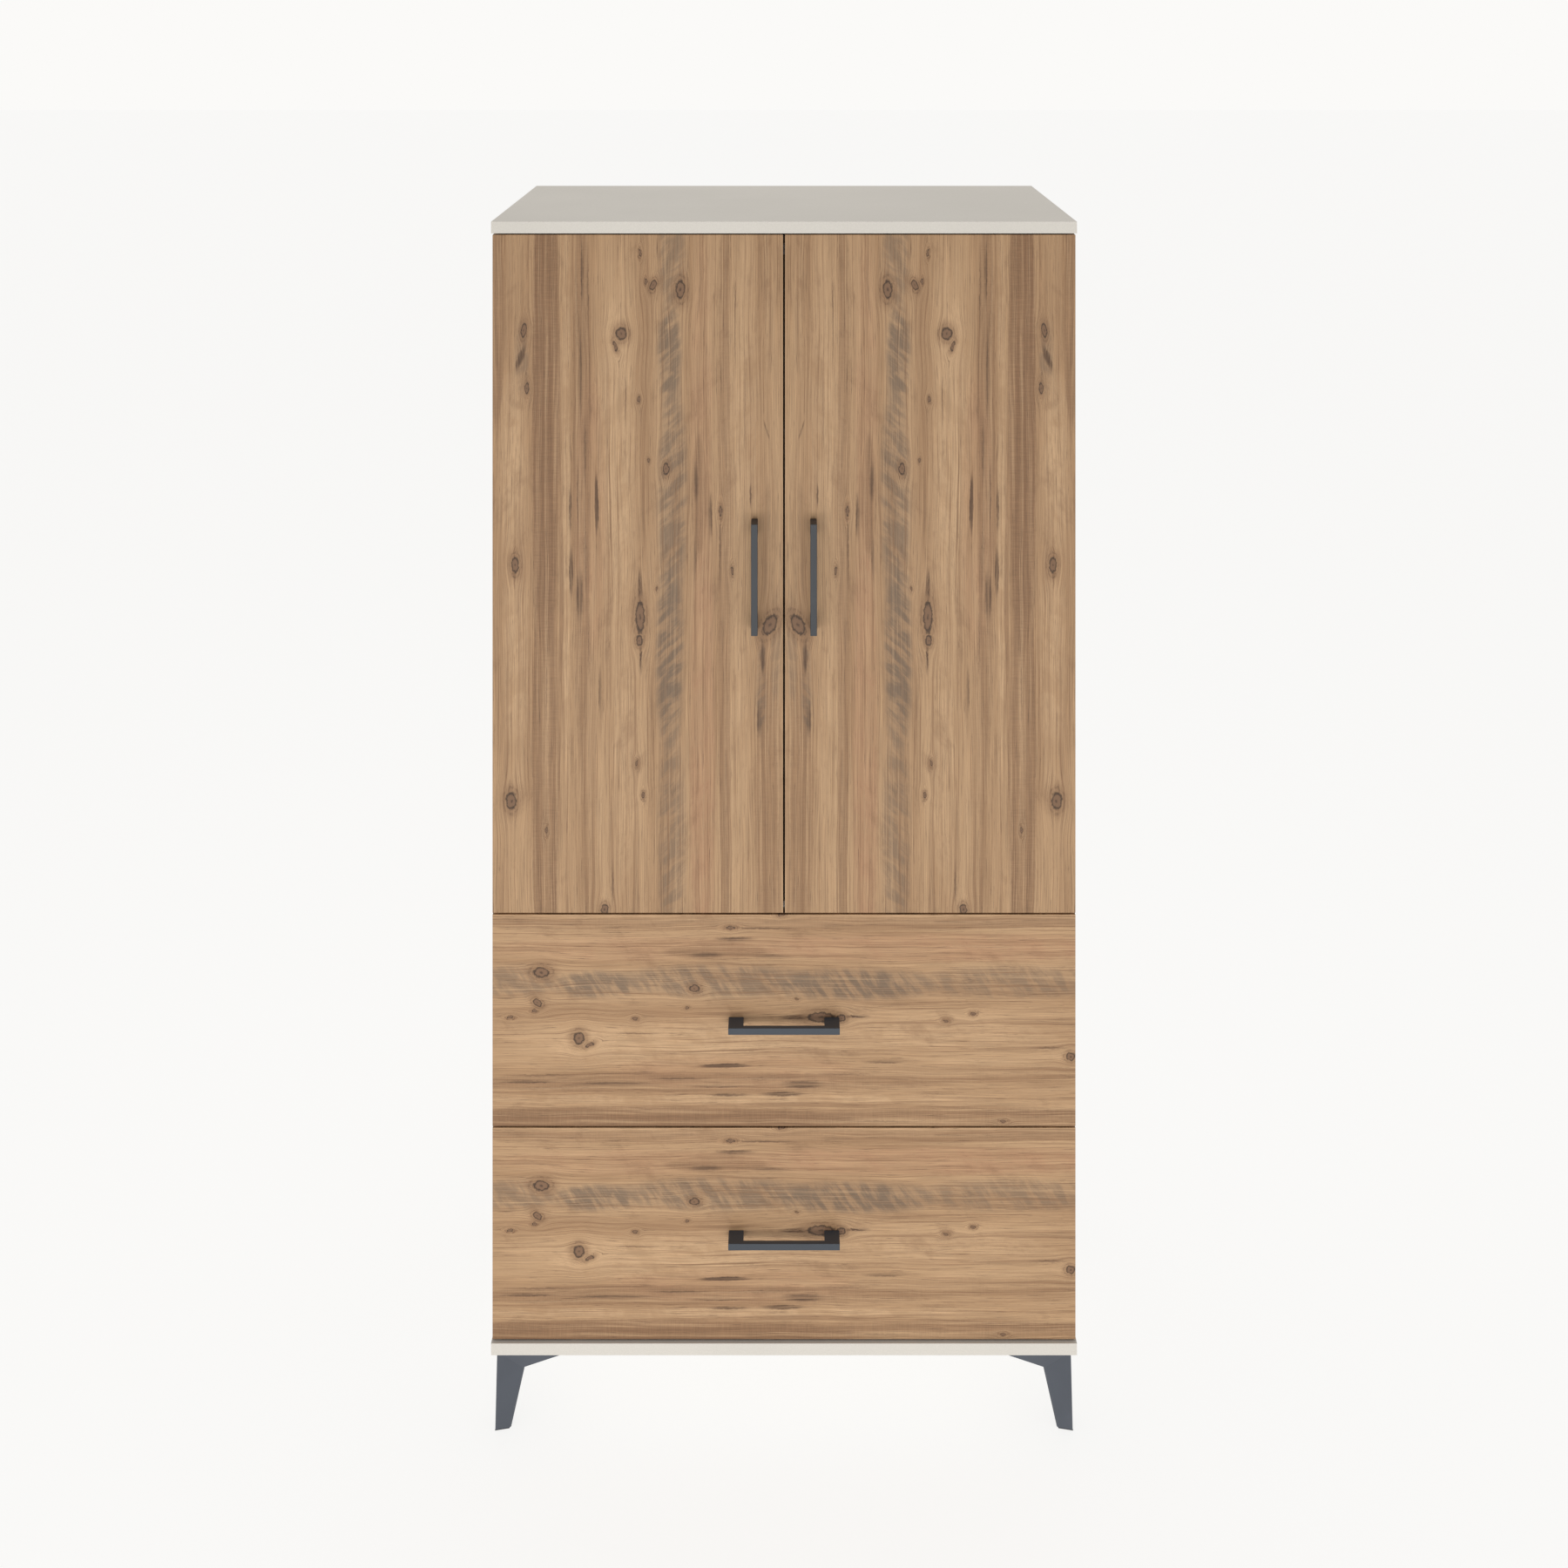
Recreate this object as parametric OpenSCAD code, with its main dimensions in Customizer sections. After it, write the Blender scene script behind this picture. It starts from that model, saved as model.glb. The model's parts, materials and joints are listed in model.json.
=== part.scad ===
// Two-door, two-drawer armoire on four folded sheet-metal corner legs.
// Origin: middle of the footprint, on the floor. +Z is up and the fronts face -Y.

/* [Carcass] */
// Width of the top and base panels
overall_w = 900; // [750:10:1080]
// Depth of the top and base panels
overall_d = 500; // [410:1:600]
// Height from the floor to the top surface
overall_h = 1861; // [1550:1:2240]
// Thickness of the carcass boards
board_t = 18; // [16:1:22]
// Thickness of the two back panels
back_t = 3; // [3:0.5:5]

/* [Fronts] */
// Thickness of the doors and the drawer fronts
front_t = 18; // [18:1:22]
// Height of one drawer front
drawer_front_h = 325; // [270:1:390]
// Gap between neighbouring fronts
front_gap = 3; // [2:0.5:4]
// Distance from the fronts' outer edges to the carcass sides
side_reveal = 1.5; // [1:0.5:2]
// How far the fronts stand behind the front edge of the top panel
front_set_back = 5; // [3:1:8]
// Gap between the fronts' inner faces and the carcass
carcass_gap = 3; // [3:0.5:4]

/* [Handles] */
// Length of a handle
handle_l = 170; // [136:1:204]
// Height of the bar's face
handle_w = 10; // [8:1:12]
// Thickness of the bar
handle_t = 8; // [6.5:0.5:10]
// Distance from the front to the bar's outer face
handle_reach = 30; // [25:1:36]
// Length of the post at each end of a handle
handle_post = 23; // [18:1:28]
// Distance from a door's meeting edge to the centre of its handle
handle_edge = 43.7; // [36:0.1:53]

/* [Legs] */
// Height of a leg with its glide
leg_h = 120; // [100:1:145]
// Length of the arm that runs along the panel's edge
leg_arm = 115; // [95:1:138]
// Distance from the panel's edges to the leg's upper corner
leg_inset = 7.5; // [5:0.5:10]
// Thickness of the leg's steel sheet
leg_sheet = 2.5; // [2:0.5:3]

/* [Hinges] */
// Number of concealed hinges on each door
hinge_count = 3; // [2:1:4]
// Distance from a door's top or bottom edge to the nearest hinge
hinge_end = 100; // [80:5:120]
// Depth of the hinge cup in the door
cup_depth = 12.5; // [11.7:0.1:13.5]

/* [Drawers] */
// Height of the drawer sides
drawer_side_h = 230; // [190:5:276]
// Thickness of the drawer sides and back
drawer_t = 15; // [15:1:18]
// Space that a ball-bearing slide takes on each side
slide_space = 12.7; // [12.7:0.1:13.5]

/* [Hanging rail] */
// Distance from the underside of the top panel to the rail's centre
rail_drop = 60; // [48:1:72]
// Height of the oval rail
rail_h = 30; // [25:1:32]

/* [Hidden] */
$fn = 48;

// Colours
cream = [0.83, 0.81, 0.77];
pine = [0.68, 0.58, 0.46];
anthracite = [0.33, 0.35, 0.38];
zinc = [0.72, 0.73, 0.74];
beech = [0.80, 0.66, 0.48];
clear_plastic = [0.85, 0.86, 0.86];
black_plastic = [0.10, 0.10, 0.11];

// Clearances
slip = 0.05;       // radial clearance of a pin, screw or dowel in its hole
groove_play = 0.2; // play of a panel in its groove
break_out = 1;     // how far a cut runs on past an open face

// Carcass planes
side_x1 = overall_w / 2;
side_x0 = side_x1 - board_t;
handle_out = handle_reach - front_set_back;
edge_y = (handle_out - overall_d) / 2;
back_y = edge_y + overall_d;
front_y0 = edge_y + front_set_back;
front_y1 = front_y0 + front_t;
carcass_y0 = front_y1 + carcass_gap;
carcass_y1 = back_y - back_t;
carcass_d = carcass_y1 - carcass_y0;
base_z0 = leg_h;
base_z1 = base_z0 + board_t;
top_z0 = overall_h - board_t;

// Fronts
front_x = side_x1 - side_reveal;
door_w = front_x - front_gap / 2;
door_z0 = drawer_z(2);
door_z1 = top_z0 - front_gap;
shelf_z0 = door_z0 - front_gap / 2 - board_t / 2;
shelf_z1 = shelf_z0 + board_t;
door_handle_x = front_gap / 2 + handle_edge;
door_handle_z = (door_z0 + door_z1) / 2;

// Handle fixing
handle_hole_inset = 5;
small_screw_r = 2;
handle_screw_grip = 9;
washer_head_r = 4.5;
washer_head_t = 2.2;

// Carcass joints
cam_r = 7.5;
cam_t = 12.5;
drawer_cam_t = 12;
cam_inset = 34;
bolt_r = 3;
bolt_grip = 11;
dowel_r = 4;
dowel_l = 30;
dowel_grip = 11;
cam_places = [0.12, 0.38, 0.88];
dowel_places = [0.24, 0.76];
nail_r = 0.8;
nail_l = 20;
nail_head_r = 1.8;
nail_head_t = 0.8;
nail_end = 25;
nail_shelf_end = 60;
nail_off_split = 4.5;
nails_per_side = 6;
nails_on_shelf = 5;

// Concealed hinge, measured from the door's outer edge and its inner face
cup_r = 17.5;
cup_wall = 1;
cup_centre = 20.5;
pin_inset = 7;
pin_deep = 8.5;
hinge_pin_r = 1.25;
knuckle_r = 2.5;
knuckle_half = 3;
lug_half = 7.2;
lug_gap = 0.5;
arm_t = 2.5;
tongue_t = 2;
arm_half = 8;
arm_rim = 4;
arm_rim_t = 1.2;
arm_rim_y = 8;
arm_clear = 0.9;
// The door's inner edge swings round the pin on this radius, and the arm keeps clear of it
swing_r = sqrt(pin_inset * pin_inset + pin_deep * pin_deep);
plate_t = max(2.5, pin_inset + swing_r + arm_clear - side_gap_to_panel());
plate_setback = 37;
plate_l = 44;
plate_ear_half = 7;
plate_ear_over = 8;
system_pitch = 32;
system_r = 2.5;
system_deep = 12.5;
system_screw_l = 11;
system_head_r = 4.3;
system_head_t = 2.2;
arm_head_r = 3.8;
arm_head_t = 2;
arm_screw_offset = 12;
wing_screw_z = 24;
wing_screw_x = 30;
wing_half = 8;
wing_over = 7;
wing_t = 1;
wing_head_r = 4.1;
wing_head_t = 1.8;

// Drawer boxes and slides
box_x = side_x0 - slide_space;
box_lift = 30;
slide_step = 50;
slide_l = slide_step * floor((overall_d - 40) / slide_step);
slide_y0 = carcass_y0 + 2;
box_y1 = slide_y0 + slide_l;
slide_lift = 60;
slide_h = 45;
rail_sheet = 1.2;
ball_r = 1.3;
ball_gap = 3;
middle_in = 2;
middle_half = slide_h / 2 - rail_sheet - ball_gap;
inner_in = 4.5;
inner_half = middle_half - rail_sheet - ball_gap;
cage_l = 110;
balls_per_cage = 8;
cage_half = 1.6;
cage_t = 0.8;
first_ball = 6;
outer_balls_in = 5.4;
inner_balls_in = 7.6;
bottom_t = 3;
bottom_lift = 12;
groove_deep = 5;
drawer_cam_places = [50, drawer_side_h - 50];
drawer_cam_inset = 24;
drawer_screw_places = [drawer_side_h - 120, drawer_side_h - 30];
drawer_screw_l = 30;
drawer_screw_head = 3;
rail_screw_places = [0.08, 0.45, 0.88];
rail_screw_l = 10;
rail_head_r = 3.8;
rail_head_t = 2;
flush_head_r = 3.3;
end_gap = 4;

// Hanging rail
rail_w = rail_h / 2;
rail_wall = 1;
rail_z = top_z0 - rail_drop;
rail_y = carcass_y0 + carcass_d / 2;
socket_wall = 1.6;
socket_deep = 12;
rail_play = 0.3;
socket_screw_z = rail_h / 2 + 8;
socket_screw_l = 11;
socket_head_r = 3.6;
socket_head_t = 2;
socket_ear = [9, 30];

// Legs: foot size, and the knee's place from the panel's corner and its underside
leg_foot = 22;
foot_inset = leg_inset - 2.5;
foot_slope = 4.7;
knee = [leg_inset + 39.5, leg_inset + 8.1, -31];
leg_flange = 28;
leg_plate_t = 2.5;
glide_t = 1;
glide_plug = 9;
glide_play = 0.4;
leg_screw_out = [leg_inset + leg_arm - 46.5, leg_inset + 12.5];
leg_screw_in = leg_inset + 16.5;
leg_screw_places = [[leg_screw_in, leg_screw_in], leg_screw_out, [leg_screw_out[1], leg_screw_out[0]]];
leg_screw_r = 2;
leg_screw_l = 14;
leg_head_r = 4;
leg_head_t = 2.4;

// Bumpers between the fronts and the carcass
bumper_r = 3.2;
bumper_t = carcass_gap - 0.3;
bumper_x = 60;
bumper_drop = 30;

function drawer_z(i) = base_z1 + front_gap + i * (drawer_front_h + front_gap);
function box_z(i) = drawer_z(i) + box_lift;
function slide_z(i) = box_z(i) + slide_lift;
function along_depth(f) = carcass_y0 + f * carcass_d;
function spread(lo, hi, n, i) = lo + (hi - lo) * i / (n - 1);
function row(lo, hi, n) = [for (i = [0:n - 1]) spread(lo, hi, n, i)];
function hinge_z(i) = spread(door_z0 + hinge_end, door_z1 - hinge_end, hinge_count, i);
function handle_half_pitch() = handle_l / 2 - handle_hole_inset;
function past(grow) = grow > 0 ? break_out : 0;
// Places of the nails: heights beside the lower panel, the upper panel, and along the shelf
lower_nail_zs = row(base_z1 + nail_end, shelf_z0 - nail_end, nails_per_side - 2);
upper_nail_zs = row(shelf_z1 + nail_end, top_z0 - nail_end, nails_per_side);
shelf_nail_xs = row(nail_shelf_end - side_x0, side_x0 - nail_shelf_end, nails_on_shelf);
side_nail_x = side_x1 - board_t / 2;
back_split = shelf_z0 + board_t / 2;

// ---- Shared shapes ----

module block(lo, hi) {
  translate(lo) cube(hi - lo);
}

module rod_x(p, r, l) {
  translate(p) rotate([0, 90, 0]) cylinder(r = r, h = l);
}

module rod_y(p, r, l) {
  translate(p) rotate([-90, 0, 0]) cylinder(r = r, h = l);
}

module rod_z(p, r, l) {
  translate(p) cylinder(r = r, h = l);
}

module left_of() {
  mirror([1, 0, 0]) children();
}

module both_sides() {
  children();
  left_of() children();
}

module oval(w, h) {
  square([w, h - w], center = true);
  translate([0, (h - w) / 2]) circle(d = w);
  translate([0, (w - h) / 2]) circle(d = w);
}

// A bar on two posts, lying along X, with its centre at the origin on the front's face
module handle_shape() {
  difference() {
    block([-handle_l / 2, -handle_reach, -handle_w / 2], [handle_l / 2, 0, handle_w / 2]);
    block(
      [-handle_l / 2 + handle_post, -handle_reach + handle_t, -handle_w],
      [handle_l / 2 - handle_post, break_out, handle_w]
    );
    for (s = [-1, 1]) {
      p = [s * handle_half_pitch(), -handle_screw_grip - slip, 0];
      rod_y(p, small_screw_r + slip, handle_screw_grip + break_out);
    }
  }
}

// The two screws of a handle, put in from the front's inner face
module handle_screw_pair() {
  for (s = [-1, 1]) {
    x = s * handle_half_pitch();
    rod_y([x, -handle_screw_grip, 0], small_screw_r, front_t + handle_screw_grip + washer_head_t / 2);
    rod_y([x, front_t, 0], washer_head_r, washer_head_t);
  }
}

module handle_screw_holes() {
  for (s = [-1, 1])
    rod_y([s * handle_half_pitch(), -break_out, 0], small_screw_r + slip, front_t + 2 * break_out);
}

module at_door_handle() {
  translate([door_handle_x, front_y0, door_handle_z]) rotate([0, 90, 0]) children();
}

module at_drawer_handle(i) {
  translate([0, front_y0, drawer_z(i) + drawer_front_h / 2]) children();
}

// ---- Carcass joints ----

// Cams in the right side panel with bolts up to the top panel and down to the base panel
module side_cams(grow) {
  for (f = cam_places, z = [base_z1 + cam_inset, top_z0 - cam_inset])
    rod_x([side_x0 - past(grow), along_depth(f), z], cam_r + grow, cam_t + past(grow));
}

module side_bolts(grow) {
  l = bolt_grip + cam_inset + 2 * grow;
  for (f = cam_places, z = [base_z1 - bolt_grip, top_z0 - cam_inset])
    rod_z([side_x1 - board_t / 2, along_depth(f), z - grow], bolt_r + grow, l);
}

// Cams in the underside of the shelf with bolts into the right side panel
module shelf_cams(grow) {
  for (f = cam_places)
    rod_z([side_x0 - cam_inset, along_depth(f), shelf_z0 - past(grow)], cam_r + grow, cam_t + past(grow));
}

module shelf_bolts(grow) {
  l = bolt_grip + cam_inset + 2 * grow;
  for (f = cam_places)
    rod_x([side_x0 - cam_inset - grow, along_depth(f), back_split], bolt_r + grow, l);
}

module dowel_set(grow) {
  l = dowel_l + 2 * grow;
  for (f = dowel_places) {
    for (z = [base_z1 - dowel_grip, top_z0 + dowel_grip - dowel_l])
      rod_z([side_x1 - board_t / 2, along_depth(f), z - grow], dowel_r + grow, l);
    rod_x([side_x0 + dowel_grip - dowel_l - grow, along_depth(f), back_split], dowel_r + grow, l);
  }
}

module carcass_joint_holes() {
  both_sides() {
    side_cams(slip);
    side_bolts(slip);
    shelf_cams(slip);
    shelf_bolts(slip);
    dowel_set(slip);
  }
}

// Nails of the back panels, driven from behind
module nail_row(grow) {
  for (z = concat(lower_nail_zs, upper_nail_zs), s = [-1, 1])
    nail_at(s * side_nail_x, z, grow);
  for (x = shelf_nail_xs, s = [-1, 1])
    nail_at(x, back_split + s * nail_off_split, grow);
}

module nail_at(x, z, grow) {
  rod_y([x, back_y - nail_l - grow, z], nail_r + grow, nail_l);
  rod_y([x, back_y - nail_head_t, z], nail_head_r + grow, nail_head_t + past(grow));
}

// ---- Hinges, on the right side ----

module for_each_hinge() {
  for (i = [0:hinge_count - 1])
    translate([front_x, front_y1, hinge_z(i)]) children();
}

// Hinge parts are drawn with the door's outer edge at x = 0 and its inner face at y = 0
module hinge_cup() {
  difference() {
    union() {
      rod_y([-cup_centre, -cup_depth, 0], cup_r, cup_depth);
      rod_y([-cup_centre, 0, 0], cup_r + cup_wall, wing_t);
      block(
        [-wing_screw_x - wing_half, 0, -wing_screw_z - wing_over],
        [-wing_screw_x + wing_half, wing_t, wing_screw_z + wing_over]
      );
    }
    rod_y([-cup_centre, cup_wall - cup_depth, 0], cup_r - cup_wall, cup_depth + break_out);
    for (s = [-1, 1])
      rod_y([-wing_screw_x, -break_out, s * wing_screw_z], system_r + slip, wing_t + 2 * break_out);
  }
  difference() {
    intersection() {
      for (s = [-1, 1])
        translate([0, 0, s * (knuckle_half + lug_gap + lug_half) / 2]) lug_block();
      rod_y([-cup_centre, cup_wall / 2 - cup_depth, 0], cup_r - cup_wall / 2, cup_depth);
    }
    hinge_pin(slip);
  }
}

module lug_block() {
  half = (lug_half - knuckle_half - lug_gap) / 2;
  block([-pin_inset - knuckle_r, -cup_depth, -half], [-pin_inset + knuckle_r, -pin_deep + knuckle_r, half]);
}

module hinge_pin(grow) {
  rod_z([-pin_inset, -pin_deep, -lug_half - grow], hinge_pin_r + grow, 2 * (lug_half + grow));
}

module hinge_arm() {
  arm_x1 = -side_gap_to_panel() - plate_t;
  arm_x0 = arm_x1 - arm_t;
  difference() {
    union() {
      rod_z([-pin_inset, -pin_deep, -knuckle_half], knuckle_r, 2 * knuckle_half);
      block(
        [arm_x0, -pin_deep - tongue_t / 2, -knuckle_half],
        [-pin_inset, -pin_deep + tongue_t / 2, knuckle_half]
      );
      block([arm_x0, -pin_deep - tongue_t / 2, -arm_half], [arm_x1, arm_end(), arm_half]);
      for (z = [-arm_half, arm_half - arm_rim_t])
        block([arm_x0 - arm_rim, arm_rim_y, z], [arm_x0, arm_end(), z + arm_rim_t]);
    }
    half = knuckle_half + break_out;
    rod_z([-pin_inset, -pin_deep, -half], hinge_pin_r + slip, 2 * half);
    rod_x([arm_x0 - break_out, arm_screw_y(), 0], system_r + slip, arm_t + 2 * break_out);
  }
}

// Distance from the door's outer edge to the side panel's inner face
function side_gap_to_panel() = board_t - side_reveal;
function arm_end() = carcass_gap + plate_setback + plate_l / 2;
function arm_screw_y() = carcass_gap + plate_setback + arm_screw_offset;

module hinge_plate() {
  x1 = -side_gap_to_panel();
  y = carcass_gap + plate_setback;
  ear_z = system_pitch / 2 + plate_ear_over;
  difference() {
    union() {
      block([x1 - plate_t, y - plate_l / 2, -arm_half], [x1, y + plate_l / 2, arm_half]);
      block([x1 - plate_t, y - plate_ear_half, -ear_z], [x1, y + plate_ear_half, ear_z]);
    }
    for (p = [[y, -system_pitch / 2], [y, system_pitch / 2], [arm_screw_y(), 0]])
      rod_x([x1 - plate_t - break_out, p[0], p[1]], system_r + slip, plate_t + 2 * break_out);
  }
}

// Screws of the hinge plates and of the arms
module hinge_side_screws() {
  x1 = -side_gap_to_panel();
  y = carcass_gap + plate_setback;
  for (s = [-1, 1]) {
    z = s * system_pitch / 2;
    rod_x([x1 - plate_t - system_head_t / 2, y, z], system_r, plate_t + system_screw_l);
    rod_x([x1 - plate_t - system_head_t, y, z], system_head_r, system_head_t);
  }
  rod_x([x1 - plate_t - arm_t - arm_head_t / 2, arm_screw_y(), 0], system_r, plate_t + arm_t);
  rod_x([x1 - plate_t - arm_t - arm_head_t, arm_screw_y(), 0], arm_head_r, arm_head_t);
}

module cup_screw_pair() {
  for (s = [-1, 1]) {
    p = [-wing_screw_x, wing_t, s * wing_screw_z];
    rod_y(p - [0, wing_t + system_screw_l, 0], system_r, wing_t + system_screw_l + wing_head_t / 2);
    rod_y(p, wing_head_r, wing_head_t);
  }
}

module side_panel_screw_holes() {
  for (i = [0:hinge_count - 1], s = [-1, 1])
    side_hole(carcass_y0 + plate_setback, hinge_z(i) + s * system_pitch / 2, system_r, system_deep);
  for (i = [0, 1], f = rail_screw_places)
    side_hole(slide_y0 + f * slide_l, slide_z(i), system_r, system_deep);
  for (s = [-1, 1])
    side_hole(rail_y, rail_z + s * socket_screw_z, small_screw_r, socket_screw_l);
}

module side_hole(y, z, r, deep) {
  rod_x([side_x0 - break_out, y, z], r + slip, deep + break_out);
}

// ---- Slides, on the right side; depth is measured from the side panel ----

// Channel section: its web starts at web0 and its lips run from lip0 to lip1
module rail_section(web0, half_h, lip0, lip1) {
  translate([web0, -half_h]) square([rail_sheet, 2 * half_h]);
  for (s = [0, 1])
    mirror([0, s]) translate([lip0, half_h - rail_sheet]) square([lip1 - lip0, rail_sheet]);
}

module rail_bar(i) {
  translate([side_x0, slide_y0, slide_z(i)]) rotate([90, 0, 180]) linear_extrude(slide_l) children();
}

module outer_rail(i) {
  difference() {
    rail_bar(i) rail_section(0, slide_h / 2, 0, slide_space - 3);
    for (f = rail_screw_places)
      side_countersink(slide_y0 + f * slide_l, slide_z(i), slip);
  }
}

// Flush head of an outer rail's screw, as deep as the rail's sheet
module side_countersink(y, z, grow) {
  rod_x([side_x0 - rail_sheet - past(grow), y, z], flush_head_r + grow, rail_sheet + 2 * past(grow));
}

module middle_rail(i) {
  rail_bar(i) rail_section(middle_in, middle_half, middle_in, slide_space - 1.7);
}

module inner_rail(i) {
  difference() {
    rail_bar(i) rail_section(slide_space - rail_sheet, inner_half, inner_in, slide_space);
    for (f = rail_screw_places)
      rod_x(
        [box_x - break_out, slide_y0 + f * slide_l, slide_z(i)],
        small_screw_r + slip, rail_sheet + 2 * break_out
      );
  }
}

// A strip of balls between two rails; depth and height are those of the balls' centres
module ball_strip(i, depth, height, y0) {
  x = side_x0 - depth;
  for (s = [-1, 1]) {
    z = slide_z(i) + s * height;
    block([x - cage_half, y0, z - cage_t / 2], [x + cage_half, y0 + cage_l, z + cage_t / 2]);
    for (y = row(y0 + first_ball, y0 + cage_l - first_ball, balls_per_cage))
      translate([x, y, z]) sphere(r = ball_r);
  }
}

module ball_cage_set(i) {
  ball_strip(i, outer_balls_in, middle_half + ball_gap / 2, slide_y0 + slide_l - cage_l - end_gap);
  ball_strip(i, inner_balls_in, inner_half + ball_gap / 2, slide_y0 + end_gap);
}

// ---- Drawer boxes ----

module drawer_side(i) {
  difference() {
    block([box_x - drawer_t, front_y1, box_z(i)], [box_x, box_y1, box_z(i) + drawer_side_h]);
    block(
      [box_x - drawer_t - break_out, front_y1 - break_out, box_z(i) + bottom_lift],
      [box_x - drawer_t + groove_deep, box_y1 + break_out, box_z(i) + bottom_lift + bottom_t + groove_play]
    );
    drawer_cams(i, slip);
    drawer_bolts(i, slip);
    drawer_back_screws(i, slip);
    rail_screws(i, slip);
  }
}

module drawer_cams(i, grow) {
  for (h = drawer_cam_places) {
    p = [box_x - drawer_t - past(grow), front_y1 + drawer_cam_inset, box_z(i) + h];
    rod_x(p, cam_r + grow, drawer_cam_t + past(grow));
  }
}

module drawer_bolts(i, grow) {
  l = bolt_grip + drawer_cam_inset + 2 * grow;
  for (h = drawer_cam_places)
    rod_y([box_x - drawer_t / 2, front_y1 - bolt_grip - grow, box_z(i) + h], bolt_r + grow, l);
}

module drawer_back_screws(i, grow) {
  y = box_y1 - drawer_t / 2;
  for (h = drawer_screw_places) {
    z = box_z(i) + h;
    l = drawer_screw_l + drawer_t + grow;
    rod_x([box_x - l, y, z], system_r + grow, l);
    rod_x([box_x - drawer_screw_head, y, z], system_r + 1 + grow, drawer_screw_head + past(grow));
  }
}

// Screws of the inner rail, put in from the slide
module rail_screws(i, grow) {
  for (f = rail_screw_places)
    rod_x(
      [box_x - rail_screw_l - grow, slide_y0 + f * slide_l, slide_z(i)],
      small_screw_r + grow, rail_screw_l + rail_sheet + 2 * grow
    );
}

module drawer_front(i) {
  difference() {
    block([-front_x, front_y0, drawer_z(i)], [front_x, front_y1, drawer_z(i) + drawer_front_h]);
    block(
      [-box_x + drawer_t - groove_deep, front_y1 - groove_deep, box_z(i) + bottom_lift],
      [box_x - drawer_t + groove_deep, front_y1 + break_out, box_z(i) + bottom_lift + bottom_t + groove_play]
    );
    both_sides() drawer_bolts(i, slip);
    at_drawer_handle(i) handle_screw_holes();
  }
}

module drawer_back(i) {
  difference() {
    block(
      [drawer_t - box_x, box_y1 - drawer_t, box_z(i) + bottom_lift + bottom_t + groove_play],
      [box_x - drawer_t, box_y1, box_z(i) + drawer_side_h]
    );
    both_sides() drawer_back_screws(i, slip);
  }
}

module drawer_bottom(i) {
  half = box_x - drawer_t + groove_deep - groove_play;
  block(
    [-half, front_y1 - groove_deep + groove_play, box_z(i) + bottom_lift],
    [half, box_y1, box_z(i) + bottom_lift + bottom_t]
  );
}

module drawer_fittings(i) {
  both_sides() {
    difference() {
      drawer_cams(i, 0);
      drawer_bolts(i, slip);
    }
    drawer_bolts(i, 0);
    drawer_back_screws(i, 0);
    rail_screws(i, 0);
    for (f = rail_screw_places)
      rod_x([box_x + rail_sheet, slide_y0 + f * slide_l, slide_z(i)], rail_head_r, rail_head_t);
  }
}

// ---- Legs, drawn for the front right corner ----

// Distances u along the front edge and v back from it, both from the panel's corner
module at_corner(sx, sy) {
  translate([sx * side_x1, sy < 0 ? edge_y : back_y, base_z0])
    mirror([sx > 0 ? 1 : 0, 0, 0]) mirror([0, sy > 0 ? 1 : 0, 0]) children();
}

// Swaps the front edge's direction for the side edge's
function swapped(p) = [p[1], p[0], p[2]];

// Folded sheet: from the corner edge a wing runs along each of the panel's edges.
// Each wing has a foot, a knee and an arm, and the sheet's thickness lies inwards.
module leg_shell() {
  top = [leg_inset, leg_inset, 0];
  heel = [foot_inset, foot_inset, glide_t - leg_h];
  toe = [foot_inset + leg_foot, foot_inset + foot_slope, glide_t - leg_h];
  tip = [leg_inset + leg_arm, leg_inset, 0];
  outer = [top, heel, toe, knee, tip, swapped(toe), swapped(knee), swapped(tip)];
  inner = [for (p = outer) p + [leg_sheet, leg_sheet, 0]];
  n = len(outer);
  facets = [[0, 2, 1], [0, 3, 2], [0, 4, 3], [0, 1, 5], [0, 5, 6], [0, 6, 7]];
  rim = [0, 4, 3, 2, 1, 5, 6, 7];
  polyhedron(
    concat(outer, inner),
    concat(
      facets,
      [for (f = facets) [f[2] + n, f[1] + n, f[0] + n]],
      [for (k = [0:n - 1]) let (a = rim[k], b = rim[(k + 1) % n]) [b, a, a + n, b + n]]
    )
  );
}

module leg() {
  difference() {
    union() {
      leg_shell();
      translate([0, 0, -leg_plate_t]) linear_extrude(leg_plate_t) leg_plate_outline();
    }
    for (p = leg_screw_places)
      rod_z([p[0], p[1], -leg_plate_t - break_out], leg_screw_r + slip, leg_plate_t + 2 * break_out);
  }
}

module leg_plate_outline() {
  a = leg_inset + 0.5;
  b = leg_inset + leg_arm - 12;
  c = leg_inset + leg_flange;
  polygon([[a, a], [b, a], [b - 20, c - 4], [c + 10, c], [c, c + 10], [c - 4, b - 20], [a, b]]);
}

module leg_screw_set(grow) {
  for (p = leg_screw_places)
    rod_z([p[0], p[1], -leg_plate_t - leg_head_t / 2], leg_screw_r + grow, leg_plate_t + leg_screw_l);
}

// Plastic foot: a lip under the sheet's edge and a plug in the corner behind it
module leg_glide() {
  a = foot_inset + 0.2;
  b = foot_inset + leg_foot;
  c = foot_inset + foot_slope;
  s = leg_sheet + glide_play;
  translate([0, 0, -leg_h]) linear_extrude(glide_t) polygon([[a, a], [b, c], [b, c + 3], [c + 3, b], [c, b]]);
  translate([0, 0, glide_t - leg_h])
    linear_extrude(glide_plug) polygon([[a + s, a + s], [b - 4, c + s], [c + s, b - 4]]);
}

module for_each_leg() {
  for (sx = [-1, 1], sy = [-1, 1])
    at_corner(sx, sy) children();
}

// ---- Carcass parts ----

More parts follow.
